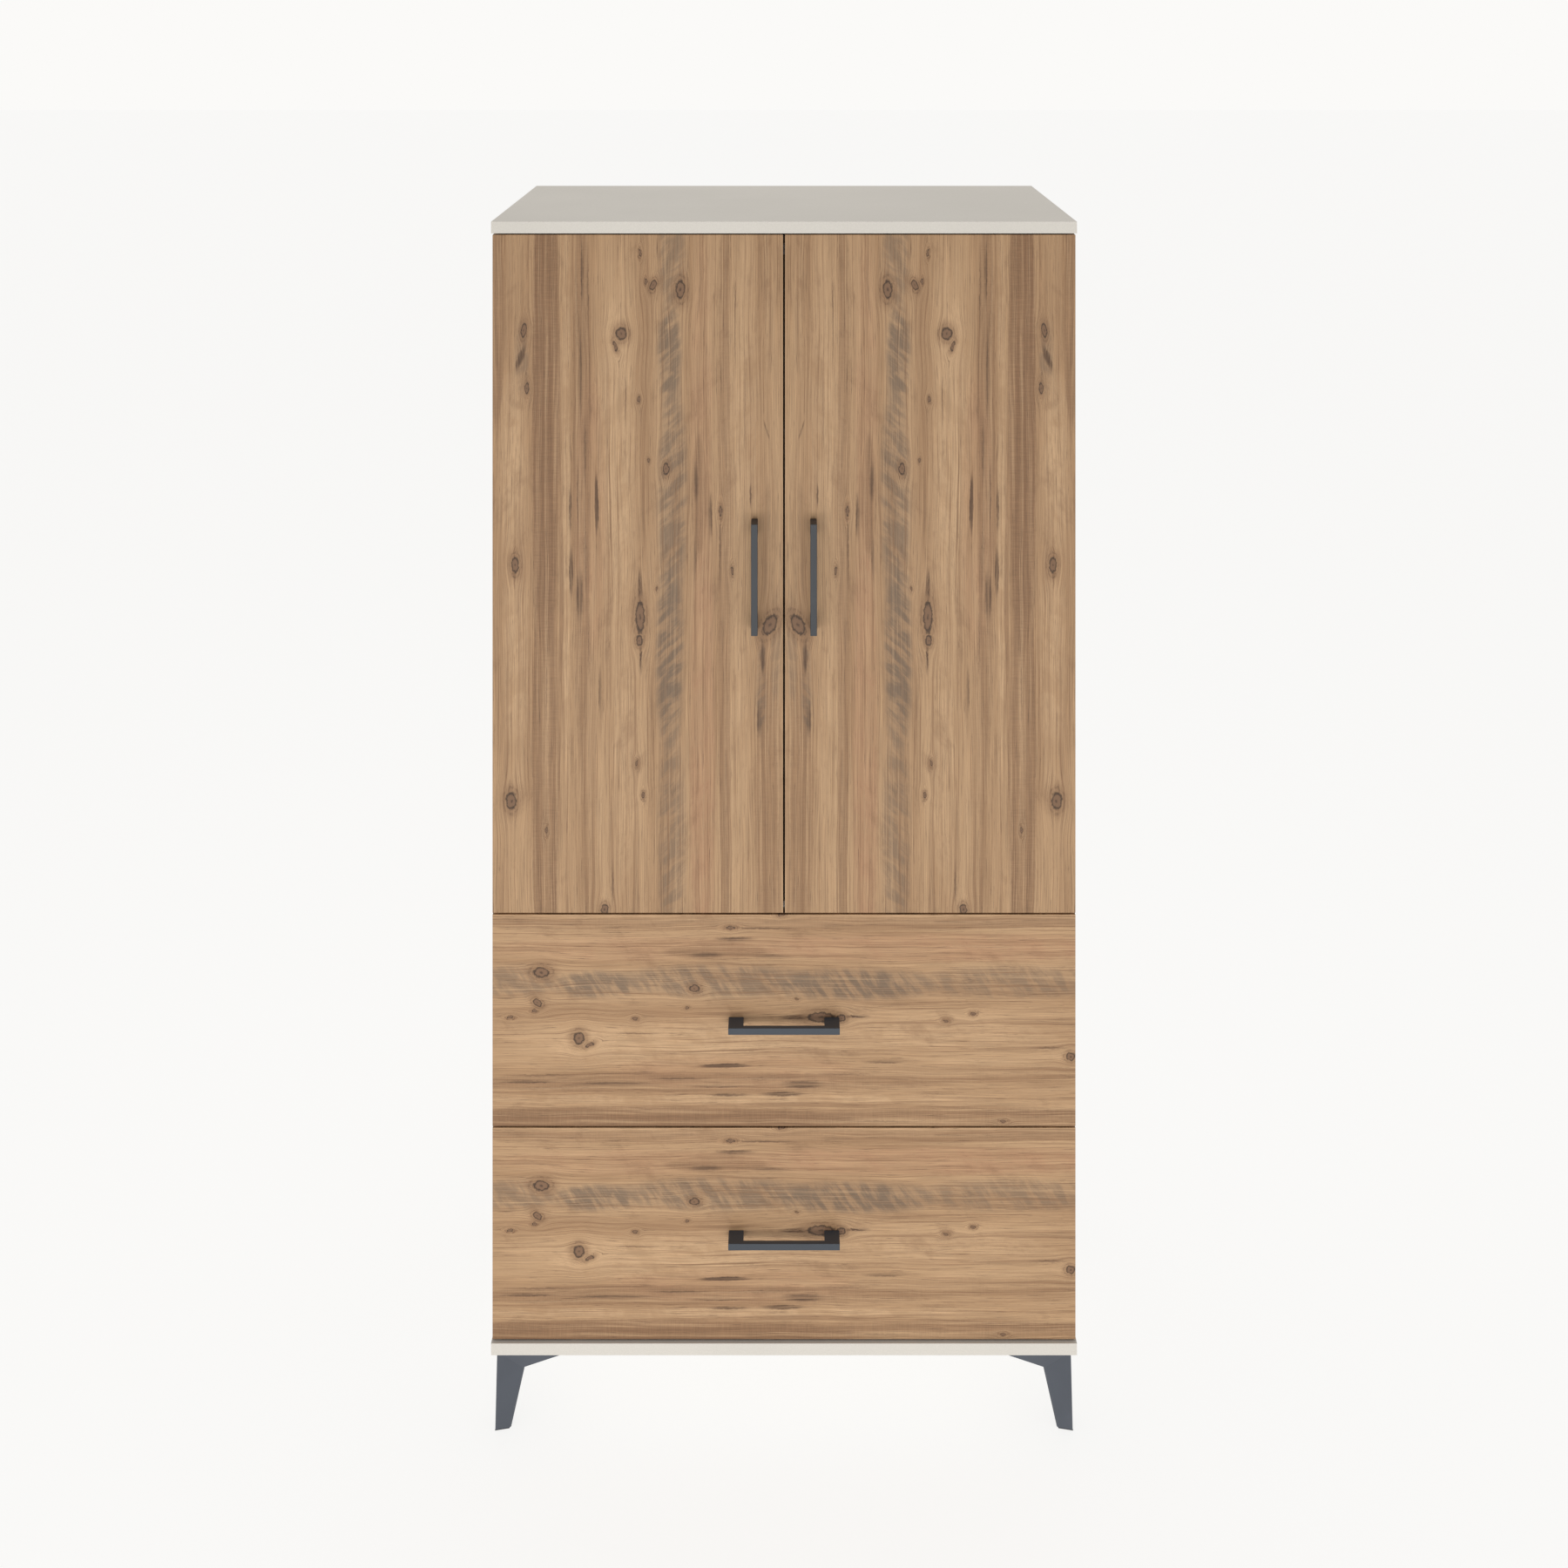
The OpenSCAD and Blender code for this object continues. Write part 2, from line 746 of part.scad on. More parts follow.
module side_panel() {
  difference() {
    block([side_x0, carcass_y0, base_z1], [side_x1, carcass_y1, top_z0]);
    side_cams(slip);
    side_bolts(slip);
    shelf_bolts(slip);
    dowel_set(slip);
    side_panel_screw_holes();
    nail_row(slip / 2);
  }
}

module right_side_panel() {
  color(cream) side_panel();
}

module left_side_panel() {
  color(cream) left_of() side_panel();
}

module top_panel() {
  color(cream) difference() {
    block([-side_x1, edge_y, top_z0], [side_x1, back_y, overall_h]);
    both_sides() {
      side_bolts(slip);
      dowel_set(slip);
    }
  }
}

module base_panel() {
  color(cream) difference() {
    block([-side_x1, edge_y, base_z0], [side_x1, back_y, base_z1]);
    both_sides() {
      side_bolts(slip);
      dowel_set(slip);
    }
    for_each_leg() leg_screw_set(slip);
  }
}

module fixed_shelf() {
  color(cream) difference() {
    block([-side_x0, carcass_y0, shelf_z0], [side_x0, carcass_y1, shelf_z1]);
    both_sides() {
      shelf_cams(slip);
      shelf_bolts(slip);
      dowel_set(slip);
    }
    nail_row(slip / 2);
  }
}

module back_sheet(z0, z1) {
  difference() {
    block([-front_x, carcass_y1, z0], [front_x, back_y, z1]);
    nail_row(slip);
  }
}

module upper_back_panel() {
  color(cream) back_sheet(back_split + 0.5, top_z0 - 0.5);
}

module lower_back_panel() {
  color(cream) back_sheet(base_z1 + 0.5, back_split - 0.5);
}

module back_panel_nails() {
  color(zinc) nail_row(0);
}

module hanging_rail() {
  half = side_x0 - socket_wall - rail_play;
  color(zinc) translate([-half, rail_y, rail_z]) rotate([90, 0, 90]) linear_extrude(2 * half)
    difference() {
      oval(rail_w, rail_h);
      oval(rail_w - 2 * rail_wall, rail_h - 2 * rail_wall);
    }
}

module rail_socket() {
  difference() {
    translate([side_x0, rail_y, rail_z]) rotate([90, 0, -90]) {
      linear_extrude(socket_wall) oval(rail_w + socket_ear[0], rail_h + socket_ear[1]);
      linear_extrude(socket_deep)
        oval(rail_w + 2 * (socket_wall + rail_play), rail_h + 2 * (socket_wall + rail_play));
    }
    translate([side_x0 - socket_wall, rail_y, rail_z]) rotate([90, 0, -90])
      linear_extrude(socket_deep) oval(rail_w + 2 * rail_play, rail_h + 2 * rail_play);
    for (s = [-1, 1]) {
      p = [side_x0 - socket_wall - break_out, rail_y, rail_z + s * socket_screw_z];
      rod_x(p, small_screw_r + slip, socket_wall + 2 * break_out);
    }
  }
}

module rail_sockets() {
  color(zinc) both_sides() rail_socket();
}

module rail_socket_screws() {
  color(zinc) both_sides()
    for (s = [-1, 1]) {
      p = [side_x0 - socket_wall - socket_head_t, rail_y, rail_z + s * socket_screw_z];
      rod_x(p, socket_head_r, socket_head_t);
      rod_x(p + [socket_head_t / 2, 0, 0], small_screw_r, socket_screw_l);
    }
}

module cam_fittings() {
  color(zinc) both_sides() {
    difference() {
      union() {
        side_cams(0);
        shelf_cams(0);
      }
      side_bolts(slip);
      shelf_bolts(slip);
    }
    side_bolts(0);
    shelf_bolts(0);
  }
}

module wood_dowels() {
  color(beech) both_sides() dowel_set(0);
}

module front_left_leg() {
  color(anthracite) at_corner(-1, -1) leg();
}

module front_right_leg() {
  color(anthracite) at_corner(1, -1) leg();
}

module back_left_leg() {
  color(anthracite) at_corner(-1, 1) leg();
}

module back_right_leg() {
  color(anthracite) at_corner(1, 1) leg();
}

module leg_screws() {
  color(zinc) for_each_leg() {
    leg_screw_set(0);
    for (p = leg_screw_places)
      rod_z([p[0], p[1], -leg_plate_t - leg_head_t], leg_head_r, leg_head_t);
  }
}

module leg_glides() {
  color(black_plastic) for_each_leg() leg_glide();
}

module hinge_plates() {
  color(zinc) both_sides() for_each_hinge() hinge_plate();
}

module hinge_arms() {
  color(zinc) both_sides() for_each_hinge() hinge_arm();
}

module euro_screws() {
  color(zinc) both_sides() {
    for_each_hinge() hinge_side_screws();
    for (i = [0, 1], f = rail_screw_places) {
      y = slide_y0 + f * slide_l;
      side_countersink(y, slide_z(i), 0);
      rod_x([side_x0 - rail_sheet / 2, y, slide_z(i)], system_r, system_screw_l);
    }
  }
}

module slide_outer_rails() {
  color(zinc) both_sides()
    for (i = [0, 1]) outer_rail(i);
}

module front_bumpers() {
  color(clear_plastic) both_sides() {
    rod_y([bumper_x, carcass_y0 - bumper_t, (door_z0 + shelf_z1) / 2], bumper_r, bumper_t);
    for (z = [drawer_z(1), drawer_z(2)])
      rod_y([side_nail_x, carcass_y0 - bumper_t, z - bumper_drop], bumper_r, bumper_t);
  }
}

// ---- Doors ----

module door_leaf() {
  difference() {
    block([front_gap / 2, front_y0, door_z0], [front_x, front_y1, door_z1]);
    at_door_handle() handle_screw_holes();
    for_each_hinge() {
      rod_y([-cup_centre, -cup_depth - slip, 0], cup_r + slip, cup_depth + break_out);
      for (s = [-1, 1]) {
        p = [-wing_screw_x, -system_screw_l - slip, s * wing_screw_z];
        rod_y(p, system_r + slip, system_screw_l + break_out);
      }
    }
  }
}

module right_door() {
  color(pine) door_leaf();
}

module left_door() {
  color(pine) left_of() door_leaf();
}

module right_door_handle() {
  color(anthracite) at_door_handle() handle_shape();
}

module left_door_handle() {
  color(anthracite) left_of() at_door_handle() handle_shape();
}

module right_handle_screws() {
  color(zinc) at_door_handle() handle_screw_pair();
}

module left_handle_screws() {
  color(zinc) left_of() at_door_handle() handle_screw_pair();
}

module right_hinge_cups() {
  color(zinc) for_each_hinge() hinge_cup();
}

module left_hinge_cups() {
  color(zinc) left_of() for_each_hinge() hinge_cup();
}

module right_hinge_pins() {
  color(zinc) for_each_hinge() hinge_pin(0);
}

module left_hinge_pins() {
  color(zinc) left_of() for_each_hinge() hinge_pin(0);
}

module right_cup_screws() {
  color(zinc) for_each_hinge() cup_screw_pair();
}

module left_cup_screws() {
  color(zinc) left_of() for_each_hinge() cup_screw_pair();
}

// ---- Drawers: the lower one is number 0, the upper one number 1 ----

module one_drawer_node(i, piece) {
  if (piece == "front") color(pine) drawer_front(i);
  if (piece == "left_side") color(cream) left_of() drawer_side(i);
  if (piece == "right_side") color(cream) drawer_side(i);
  if (piece == "back") color(cream) drawer_back(i);
  if (piece == "bottom") color(cream) drawer_bottom(i);
  if (piece == "handle") color(anthracite) at_drawer_handle(i) handle_shape();
  if (piece == "handle_screws") color(zinc) at_drawer_handle(i) handle_screw_pair();
  if (piece == "fittings") color(zinc) drawer_fittings(i);
  if (piece == "inner_rails") color(zinc) both_sides() inner_rail(i);
  if (piece == "middle_rails") color(zinc) both_sides() middle_rail(i);
  if (piece == "ball_cages") color(zinc) both_sides() ball_cage_set(i);
}

top_panel();
base_panel();
left_side_panel();
right_side_panel();
fixed_shelf();
upper_back_panel();
lower_back_panel();
back_panel_nails();
hanging_rail();
rail_sockets();
rail_socket_screws();
cam_fittings();
wood_dowels();
front_left_leg();
front_right_leg();
back_left_leg();
back_right_leg();
leg_screws();
leg_glides();
hinge_plates();
hinge_arms();
euro_screws();
slide_outer_rails();
front_bumpers();
left_door();
left_door_handle();
left_handle_screws();
left_hinge_cups();
left_hinge_pins();
left_cup_screws();
right_door();
right_door_handle();
right_handle_screws();
right_hinge_cups();
right_hinge_pins();
right_cup_screws();
one_drawer_node(1, "front");  // upper_drawer_front
one_drawer_node(1, "left_side");  // upper_drawer_left_side
one_drawer_node(1, "right_side");  // upper_drawer_right_side
one_drawer_node(1, "back");  // upper_drawer_back
one_drawer_node(1, "bottom");  // upper_drawer_bottom
one_drawer_node(1, "handle");  // upper_drawer_handle
one_drawer_node(1, "handle_screws");  // upper_drawer_handle_screws
one_drawer_node(1, "fittings");  // upper_drawer_fittings
one_drawer_node(1, "inner_rails");  // upper_inner_rails
one_drawer_node(1, "middle_rails");  // upper_middle_rails
one_drawer_node(1, "ball_cages");  // upper_ball_cages
one_drawer_node(0, "front");  // lower_drawer_front
one_drawer_node(0, "left_side");  // lower_drawer_left_side
one_drawer_node(0, "right_side");  // lower_drawer_right_side
one_drawer_node(0, "back");  // lower_drawer_back
one_drawer_node(0, "bottom");  // lower_drawer_bottom
one_drawer_node(0, "handle");  // lower_drawer_handle
one_drawer_node(0, "handle_screws");  // lower_drawer_handle_screws
one_drawer_node(0, "fittings");  // lower_drawer_fittings
one_drawer_node(0, "inner_rails");  // lower_inner_rails
one_drawer_node(0, "middle_rails");  // lower_middle_rails
one_drawer_node(0, "ball_cages");  // lower_ball_cages
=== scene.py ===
import json
import math
import bmesh
import bpy
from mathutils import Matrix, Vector


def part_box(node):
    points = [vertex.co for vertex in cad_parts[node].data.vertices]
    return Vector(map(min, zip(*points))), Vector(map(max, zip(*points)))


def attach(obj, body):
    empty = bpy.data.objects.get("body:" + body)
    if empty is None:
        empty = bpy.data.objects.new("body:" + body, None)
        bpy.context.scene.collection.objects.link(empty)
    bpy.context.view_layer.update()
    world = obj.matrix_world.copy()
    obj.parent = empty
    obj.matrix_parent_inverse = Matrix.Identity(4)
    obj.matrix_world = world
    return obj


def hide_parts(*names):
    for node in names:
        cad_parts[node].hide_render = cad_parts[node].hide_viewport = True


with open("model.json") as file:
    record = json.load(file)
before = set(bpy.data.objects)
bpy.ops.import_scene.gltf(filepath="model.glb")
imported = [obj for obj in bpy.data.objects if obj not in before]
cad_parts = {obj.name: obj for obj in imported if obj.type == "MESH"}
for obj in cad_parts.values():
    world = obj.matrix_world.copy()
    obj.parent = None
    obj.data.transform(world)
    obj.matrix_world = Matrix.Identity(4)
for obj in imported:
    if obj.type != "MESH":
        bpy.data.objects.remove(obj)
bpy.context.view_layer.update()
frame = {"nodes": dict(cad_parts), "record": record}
nodes = frame["nodes"]
print("frame loaded:", len(nodes), "nodes")


def plug(tree, socket, value):  # a value goes on the socket, another socket is linked to it
    if isinstance(value, bpy.types.NodeSocket):
        tree.links.new(value, socket)
    elif value is not None:
        socket.default_value = value


def calc(tree, operation, a, b=None, c=None, clamp=False):
    node = tree.nodes.new("ShaderNodeMath")
    node.operation = operation
    node.use_clamp = clamp
    for socket, value in zip(node.inputs, (a, b, c)):
        plug(tree, socket, value)
    return node.outputs[0]


def remap(tree, value, fromLow, fromHigh, toLow=0.0, toHigh=1.0):
    node = tree.nodes.new("ShaderNodeMapRange")
    node.interpolation_type = "SMOOTHSTEP"
    for socket, given in zip(node.inputs, (value, fromLow, fromHigh, toLow, toHigh)):
        plug(tree, socket, given)
    return node.outputs[0]


def combine(tree, x, y, z=0.0):
    node = tree.nodes.new("ShaderNodeCombineXYZ")
    for socket, value in zip(node.inputs, (x, y, z)):
        plug(tree, socket, value)
    return node.outputs[0]


def noise(tree, vector, scale=1.0, detail=2.0, roughness=0.5, distortion=0.0):
    node = tree.nodes.new("ShaderNodeTexNoise")
    node.inputs["Scale"].default_value = scale
    node.inputs["Detail"].default_value = detail
    node.inputs["Roughness"].default_value = roughness
    node.inputs["Distortion"].default_value = distortion
    plug(tree, node.inputs["Vector"], vector)
    return node.outputs[0]


def mixColor(tree, factor, a, b, blend="MIX"):
    node = tree.nodes.new("ShaderNodeMix")
    node.data_type = "RGBA"
    node.blend_type = blend
    plug(tree, node.inputs[0], factor)
    plug(tree, node.inputs[6], a)
    plug(tree, node.inputs[7], b)
    return node.outputs[2]


def bump(tree, height, strength, distance):
    node = tree.nodes.new("ShaderNodeBump")
    node.inputs["Strength"].default_value = strength
    node.inputs["Distance"].default_value = distance
    plug(tree, node.inputs["Height"], height)
    return node.outputs[0]


def newGroup(name, inputs, outputs):
    tree = bpy.data.node_groups.new(name, "ShaderNodeTree")
    for label, kind, value in inputs:
        socket = tree.interface.new_socket(label, in_out="INPUT", socket_type=kind)
        if value is not None:
            socket.default_value = value
    for label, kind in outputs:
        tree.interface.new_socket(label, in_out="OUTPUT", socket_type=kind)
    return tree, tree.nodes.new("NodeGroupInput").outputs, tree.nodes.new("NodeGroupOutput").inputs


def useGroup(tree, group, **values):
    node = tree.nodes.new("ShaderNodeGroup")
    node.node_tree = group
    for label, value in values.items():
        plug(tree, node.inputs[label], value)
    return node.outputs


def newMaterial(name, **shaderValues):
    material = bpy.data.materials.new(name)
    material.use_nodes = True
    tree = material.node_tree
    shader = tree.nodes["Principled BSDF"].inputs
    for label, value in shaderValues.items():
        shader[label.replace("_", " ")].default_value = value
    return material, tree, shader


def place(tree):  # place in the object's own frame, in metres
    return tree.nodes.new("ShaderNodeTexCoord").outputs["Object"]


def split(tree, vector):
    node = tree.nodes.new("ShaderNodeSeparateXYZ")
    plug(tree, node.inputs[0], vector)
    return node.outputs


def stretched(tree, vector, amounts):
    node = tree.nodes.new("ShaderNodeVectorMath")
    node.operation = "MULTIPLY"
    plug(tree, node.inputs[0], vector)
    node.inputs[1].default_value = amounts
    return node.outputs[0]


def makeWearGroup():  # soft mottling, fine grit and rubbed patches, for any finish
    tree, given, out = newGroup(
        "surfaceWear",
        [
            ("Vector", "NodeSocketVector", None),
            ("Grit Size", "NodeSocketFloat", 900.0),
            ("Patch Size", "NodeSocketFloat", 6.0),
        ],
        [("Mottle", "NodeSocketFloat"), ("Grit", "NodeSocketFloat"), ("Rub", "NodeSocketFloat")],
    )
    for label, scale, detail in (("Mottle", "Patch Size", 4.0), ("Grit", "Grit Size", 2.0)):
        node = tree.nodes.new("ShaderNodeTexNoise")
        node.inputs["Detail"].default_value = detail
        tree.links.new(given["Vector"], node.inputs["Vector"])
        tree.links.new(given[scale], node.inputs["Scale"])
        tree.links.new(node.outputs[0], out[label])
    rubbed = noise(tree, given["Vector"], 11.0, 5.0, 0.65, 0.4)
    tree.links.new(remap(tree, rubbed, 0.55, 0.72), out["Rub"])
    return tree


def inEllipse(tree, given):  # the place seen from a knot or patch, with its edge at distance 1
    node = tree.nodes.new("ShaderNodeMapping")
    node.vector_type = "TEXTURE"
    for socket, label in zip(node.inputs, ("Place", "Middle", "Turn", "Size")):
        tree.links.new(given[label], socket)
    return node.outputs[0]


def vectorMath(tree, operation, a, b, c=None):
    node = tree.nodes.new("ShaderNodeVectorMath")
    node.operation = operation
    for socket, value in zip(node.inputs, (a, b, c)):
        plug(tree, socket, value)
    return node


def passedOn(tree, given, value):
    # the next one waits for this one's value, so that the shader never holds many at a time
    tinyStep = (1e-7, 0.0, 0.0)
    return vectorMath(tree, "MULTIPLY_ADD", value, tinyStep, given["Place"]).outputs[0]


# distances are in knot or patch sizes from its middle
knotPull = {"farSquared": 80.0, "squaredScale": 0.16, "strength": 4.0}
patchEdge = 1.15
ellipseInputs = [
    ("Place", "NodeSocketVector", None),
    ("Middle", "NodeSocketVector", None),
    ("Turn", "NodeSocketVector", None),
    ("Size", "NodeSocketVector", None),
]


def makeKnotGroup():  # one knot: the nearest one's squared distance so far, and how far the grain is bent
    tree, given, out = newGroup(
        "pineKnot",
        ellipseInputs
        + [("Nearest", "NodeSocketFloat", knotPull["farSquared"]), ("Bend", "NodeSocketFloat", 0.0)],
        [("Place", "NodeSocketVector"), ("Nearest", "NodeSocketFloat"), ("Bend", "NodeSocketFloat")],
    )
    seen = inEllipse(tree, given)
    squared = vectorMath(tree, "DOT_PRODUCT", seen, seen).outputs["Value"]
    reach = calc(tree, "MULTIPLY", squared, knotPull["squaredScale"])
    fade = calc(tree, "DIVIDE", knotPull["strength"], calc(tree, "MULTIPLY_ADD", reach, reach, 1.0))
    pull = calc(tree, "MULTIPLY", split(tree, seen)[0], fade)
    nearest = calc(tree, "MINIMUM", given["Nearest"], squared)
    tree.links.new(nearest, out["Nearest"])
    tree.links.new(calc(tree, "SUBTRACT", given["Bend"], pull), out["Bend"])
    tree.links.new(passedOn(tree, given, nearest), out["Place"])
    return tree


def makePatchGroup():  # one soft-edged patch of tone: the strongest share so far
    tree, given, out = newGroup(
        "decorPatch",
        ellipseInputs
        + [
            ("Strength", "NodeSocketFloat", 1.0),
            ("Full Within", "NodeSocketFloat", 0.8),
            ("Share", "NodeSocketFloat", 0.0),
        ],
        [("Place", "NodeSocketVector"), ("Share", "NodeSocketFloat")],
    )
    seen = inEllipse(tree, given)
    distance = vectorMath(tree, "LENGTH", seen, None).outputs["Value"]
    here = remap(tree, distance, patchEdge, given["Full Within"], 0.0, given["Strength"])
    share = calc(tree, "MAXIMUM", here, given["Share"])
    tree.links.new(share, out["Share"])
    tree.links.new(passedOn(tree, given, share), out["Place"])
    return tree


wearGroup = makeWearGroup()
knotGroup = makeKnotGroup()
patchGroup = makePatchGroup()

# one sheet of pine decor, in millimetres: across from a door's outer edge, along from its top
pineDecor = {
    "tones": {
        "pale": (0.565, 0.368, 0.209),
        "light": (0.462, 0.290, 0.158),
        "mid": (0.382, 0.228, 0.119),
        "brown": (0.236, 0.127, 0.064),
        "grey": (0.180, 0.126, 0.085),
        "rosy": (0.440, 0.240, 0.132),
        "streak": (0.090, 0.047, 0.026),
        "knotRim": (0.040, 0.022, 0.014),
        "knotHeart": (0.235, 0.132, 0.074),
    },
    # across, along, half width, half length, turn
    "knots": [
        (289, 84, 7.0, 14.0, 0.0),
        (247, 77, 4.5, 8.0, 0.3),
        (236, 72, 1.8, 4.5, 0.0),
        (227, 28, 2.0, 5.5, 0.0),
        (198, 152, 8.0, 9.5, 0.0),
        (189, 171, 3.0, 8.0, -0.3),
        (225, 253, 2.4, 4.5, 0.0),
        (267, 360, 4.6, 9.0, 0.0),
        (240, 347, 1.4, 3.0, 0.0),
        (351, 425, 2.4, 8.0, 0.0),
        (369, 517, 1.9, 6.0, 0.0),
        (35, 508, 5.5, 12.0, 0.0),
        (29, 871, 8.0, 13.0, 0.0),
        (232, 862, 2.3, 4.5, 0.0),
        (222, 813, 2.2, 4.5, 0.0),
        (427, 600, 9.5, 17.0, 0.5),
        (227, 588, 7.0, 24.0, 0.0),
        (226, 624, 5.0, 8.0, 0.0),
        (48, 147, 4.0, 11.0, 0.1),
        (53, 236, 3.0, 9.0, 0.0),
        (83, 916, 1.8, 5.0, 0.0),
        (173, 1038, 5.0, 8.0, 0.0),
        (252, 545, 1.4, 3.0, 0.0),
    ],
    # a knot's parts: where each starts and is full, in knot sizes from the middle, and its strength
    "rings": {
        "shadow": (2.9, 1.0, 0.55),
        "rim": (1.20, 0.90, 0.86),
        "heart": (0.90, 0.62, 0.88),
        "core": (0.30, 0.04, 0.60),
    },
    # the noises that make up the grain: per mm across, per mm along, detail, roughness, shift, shear
    "fields": {
        "ragged": (0.20, 0.12, 2.0, 0.55, 2.3, 0.0),
        "wander": (0.010, 0.0036, 2.0, 0.5, 5.7, 0.0),
        "broad": (0.030, 0.0016, 3.0, 0.55, 3.1, 0.0),
        "years": (0.17, 0.0016, 4.0, 0.62, 9.7, 0.0),
        "lines": (0.62, 0.0034, 4.0, 0.66, 17.3, 0.0),
        "hairs": (2.00, 0.0105, 3.0, 0.60, 23.9, 0.0),
        "flecks": (1.15, 0.0170, 3.0, 0.68, 31.7, 0.0),
        "cloud": (0.030, 0.018, 4.0, 0.62, 41.3, 0.7),
        "saw": (0.040, 0.52, 2.0, 0.60, 47.9, 0.0),
        "rimmed": (0.32, 0.24, 2.0, 0.5, 61.7, 0.0),
    },
    "swings": {"ragged": 2.8, "wander": 6.0, "saw": 0.30, "rimmed": 0.26},
    # slanting brush strokes in the grey patches: per mm across a stroke, per mm along it
    "strokes": {"finely": 0.050, "broadly": 0.013, "detail": 5.0, "roughness": 0.64, "shift": 53.1},
    # what breaks up a tone's patches: a noise, its values at the least and the full share, the least share
    "broken": {
        "pale": ("cloud", 0.36, 0.56, 0.3),
        "rosy": ("cloud", 0.35, 0.65, 0.4),
        "brown": ("years", 0.30, 0.62, 0.55),
        "grey": ("strokes", 0.37, 0.60, 0.25),
    },
    # tones that follow a noise everywhere: the noise, its values at none and at full, the strength, the tone
    "tints": {
        "darkYears": ("years", 0.53, 0.70, 0.50, "brown"),
        "paleYears": ("years", 0.44, 0.30, 0.40, "pale"),
        "darkLines": ("lines", 0.54, 0.66, 0.70, "brown"),
        "paleLines": ("lines", 0.44, 0.34, 0.40, "pale"),
        "clouds": ("cloud", 0.56, 0.76, 0.40, "brown"),
        "flecks": ("flecks", 0.60, 0.70, 0.75, "streak"),
    },
    "thinLines": {"along": 0.53, "outside": 0.012, "inside": 0.002, "strength": 0.50},
    "streakStrength": 1.9,
    "shade": {"hairs": 1.30, "least": 0.36, "saw": 0.8},
    # how far out from its middle a patch keeps its full strength
    "fullWithin": {"pale": 0.3, "brown": 0.88, "rosy": 0.7, "grey": 0.6, "streak": 0.25},
    # patches of each tone: across, along, half width, half length, strength, turn
    "patches": {
        "pale": [
            (30, 340, 26, 190, 0.85, 0.0),
            (36, 660, 26, 220, 0.75, 0.0),
            (190, 340, 40, 380, 0.85, 0.0),
            (205, 800, 34, 300, 0.60, 0.0),
            (114, 420, 9, 640, 0.80, 0.0),
            (384, 300, 34, 360, 0.65, 0.0),
            (375, 760, 24, 300, 0.50, 0.0),
        ],
        "brown": [
            (82, 260, 21, 420, 0.95, 0.0),
            (82, 820, 21, 330, 0.70, 0.0),
            (137, 330, 13, 460, 0.50, 0.0),
            (6, 120, 12, 170, 0.50, 0.0),
            (357, 520, 9, 620, 0.40, 0.0),
            (425, 880, 22, 220, 0.40, 0.0),
            (318, 400, 12, 90, 0.45, 0.0),
            (150, 850, 12, 220, 0.30, 0.0),
        ],
        "rosy": [
            (324, 800, 20, 420, 0.70, 0.0),
            (322, 250, 18, 260, 0.45, 0.0),
            (150, 430, 26, 230, 0.40, 0.0),
        ],
        "grey": [
            (277, 40, 23, 90, 0.60, 0.0),
            (272, 185, 21, 90, 0.85, 0.0),
            (277, 400, 25, 200, 0.75, 0.0),
            (273, 640, 24, 180, 0.90, 0.0),
            (276, 930, 24, 190, 0.60, 0.0),
            (414, 700, 9, 90, 0.65, 0.0),
            (436, 640, 9, 90, 0.45, 0.0),
            (44, 190, 12, 60, 0.50, 0.0),
        ],
        "streak": [
            (42, 190, 6, 24, 0.80, 0.35),
            (138, 60, 2.2, 60, 0.65, 0.0),
            (129, 110, 1.8, 80, 0.50, 0.0),
            (147, 80, 1.6, 70, 0.45, 0.0),
            (135, 220, 2.6, 90, 0.55, 0.0),
            (142, 335, 1.8, 60, 0.60, 0.0),
            (120, 420, 2.4, 45, 0.55, 0.0),
            (132, 400, 2.4, 60, 0.60, 0.0),
            (160, 415, 3.8, 52, 0.90, 0.0),
            (121, 520, 4.0, 42, 0.70, 0.0),
            (134, 555, 6.0, 48, 0.80, 0.0),
            (142, 490, 2.0, 70, 0.70, 0.0),
            (165, 700, 2.8, 42, 0.60, 0.0),
            (148, 640, 1.8, 70, 0.45, 0.0),
            (226, 540, 5.0, 30, 0.60, 0.0),
            (228, 650, 3.0, 30, 0.60, 0.0),
            (205, 255, 1.4, 50, 0.35, 0.0),
            (313, 380, 5.0, 38, 0.50, 0.0),
            (335, 435, 3.0, 42, 0.60, 0.0),
            (350, 480, 1.8, 70, 0.45, 0.0),
            (311, 500, 3.5, 42, 0.40, 0.0),
            (397, 400, 2.0, 24, 0.65, 0.0),
            (388, 270, 1.6, 80, 0.35, 0.0),
            (300, 70, 1.6, 70, 0.35, 0.0),
            (374, 120, 1.4, 110, 0.35, 0.0),
            (422, 300, 2.0, 18, 0.50, -0.3),
            (416, 650, 4.5, 30, 0.70, 0.0),
            (411, 745, 4.5, 32, 0.60, 0.0),
            (185, 1000, 2.0, 40, 0.40, 0.0),
            (83, 700, 1.4, 90, 0.35, 0.0),
        ],
    },
}


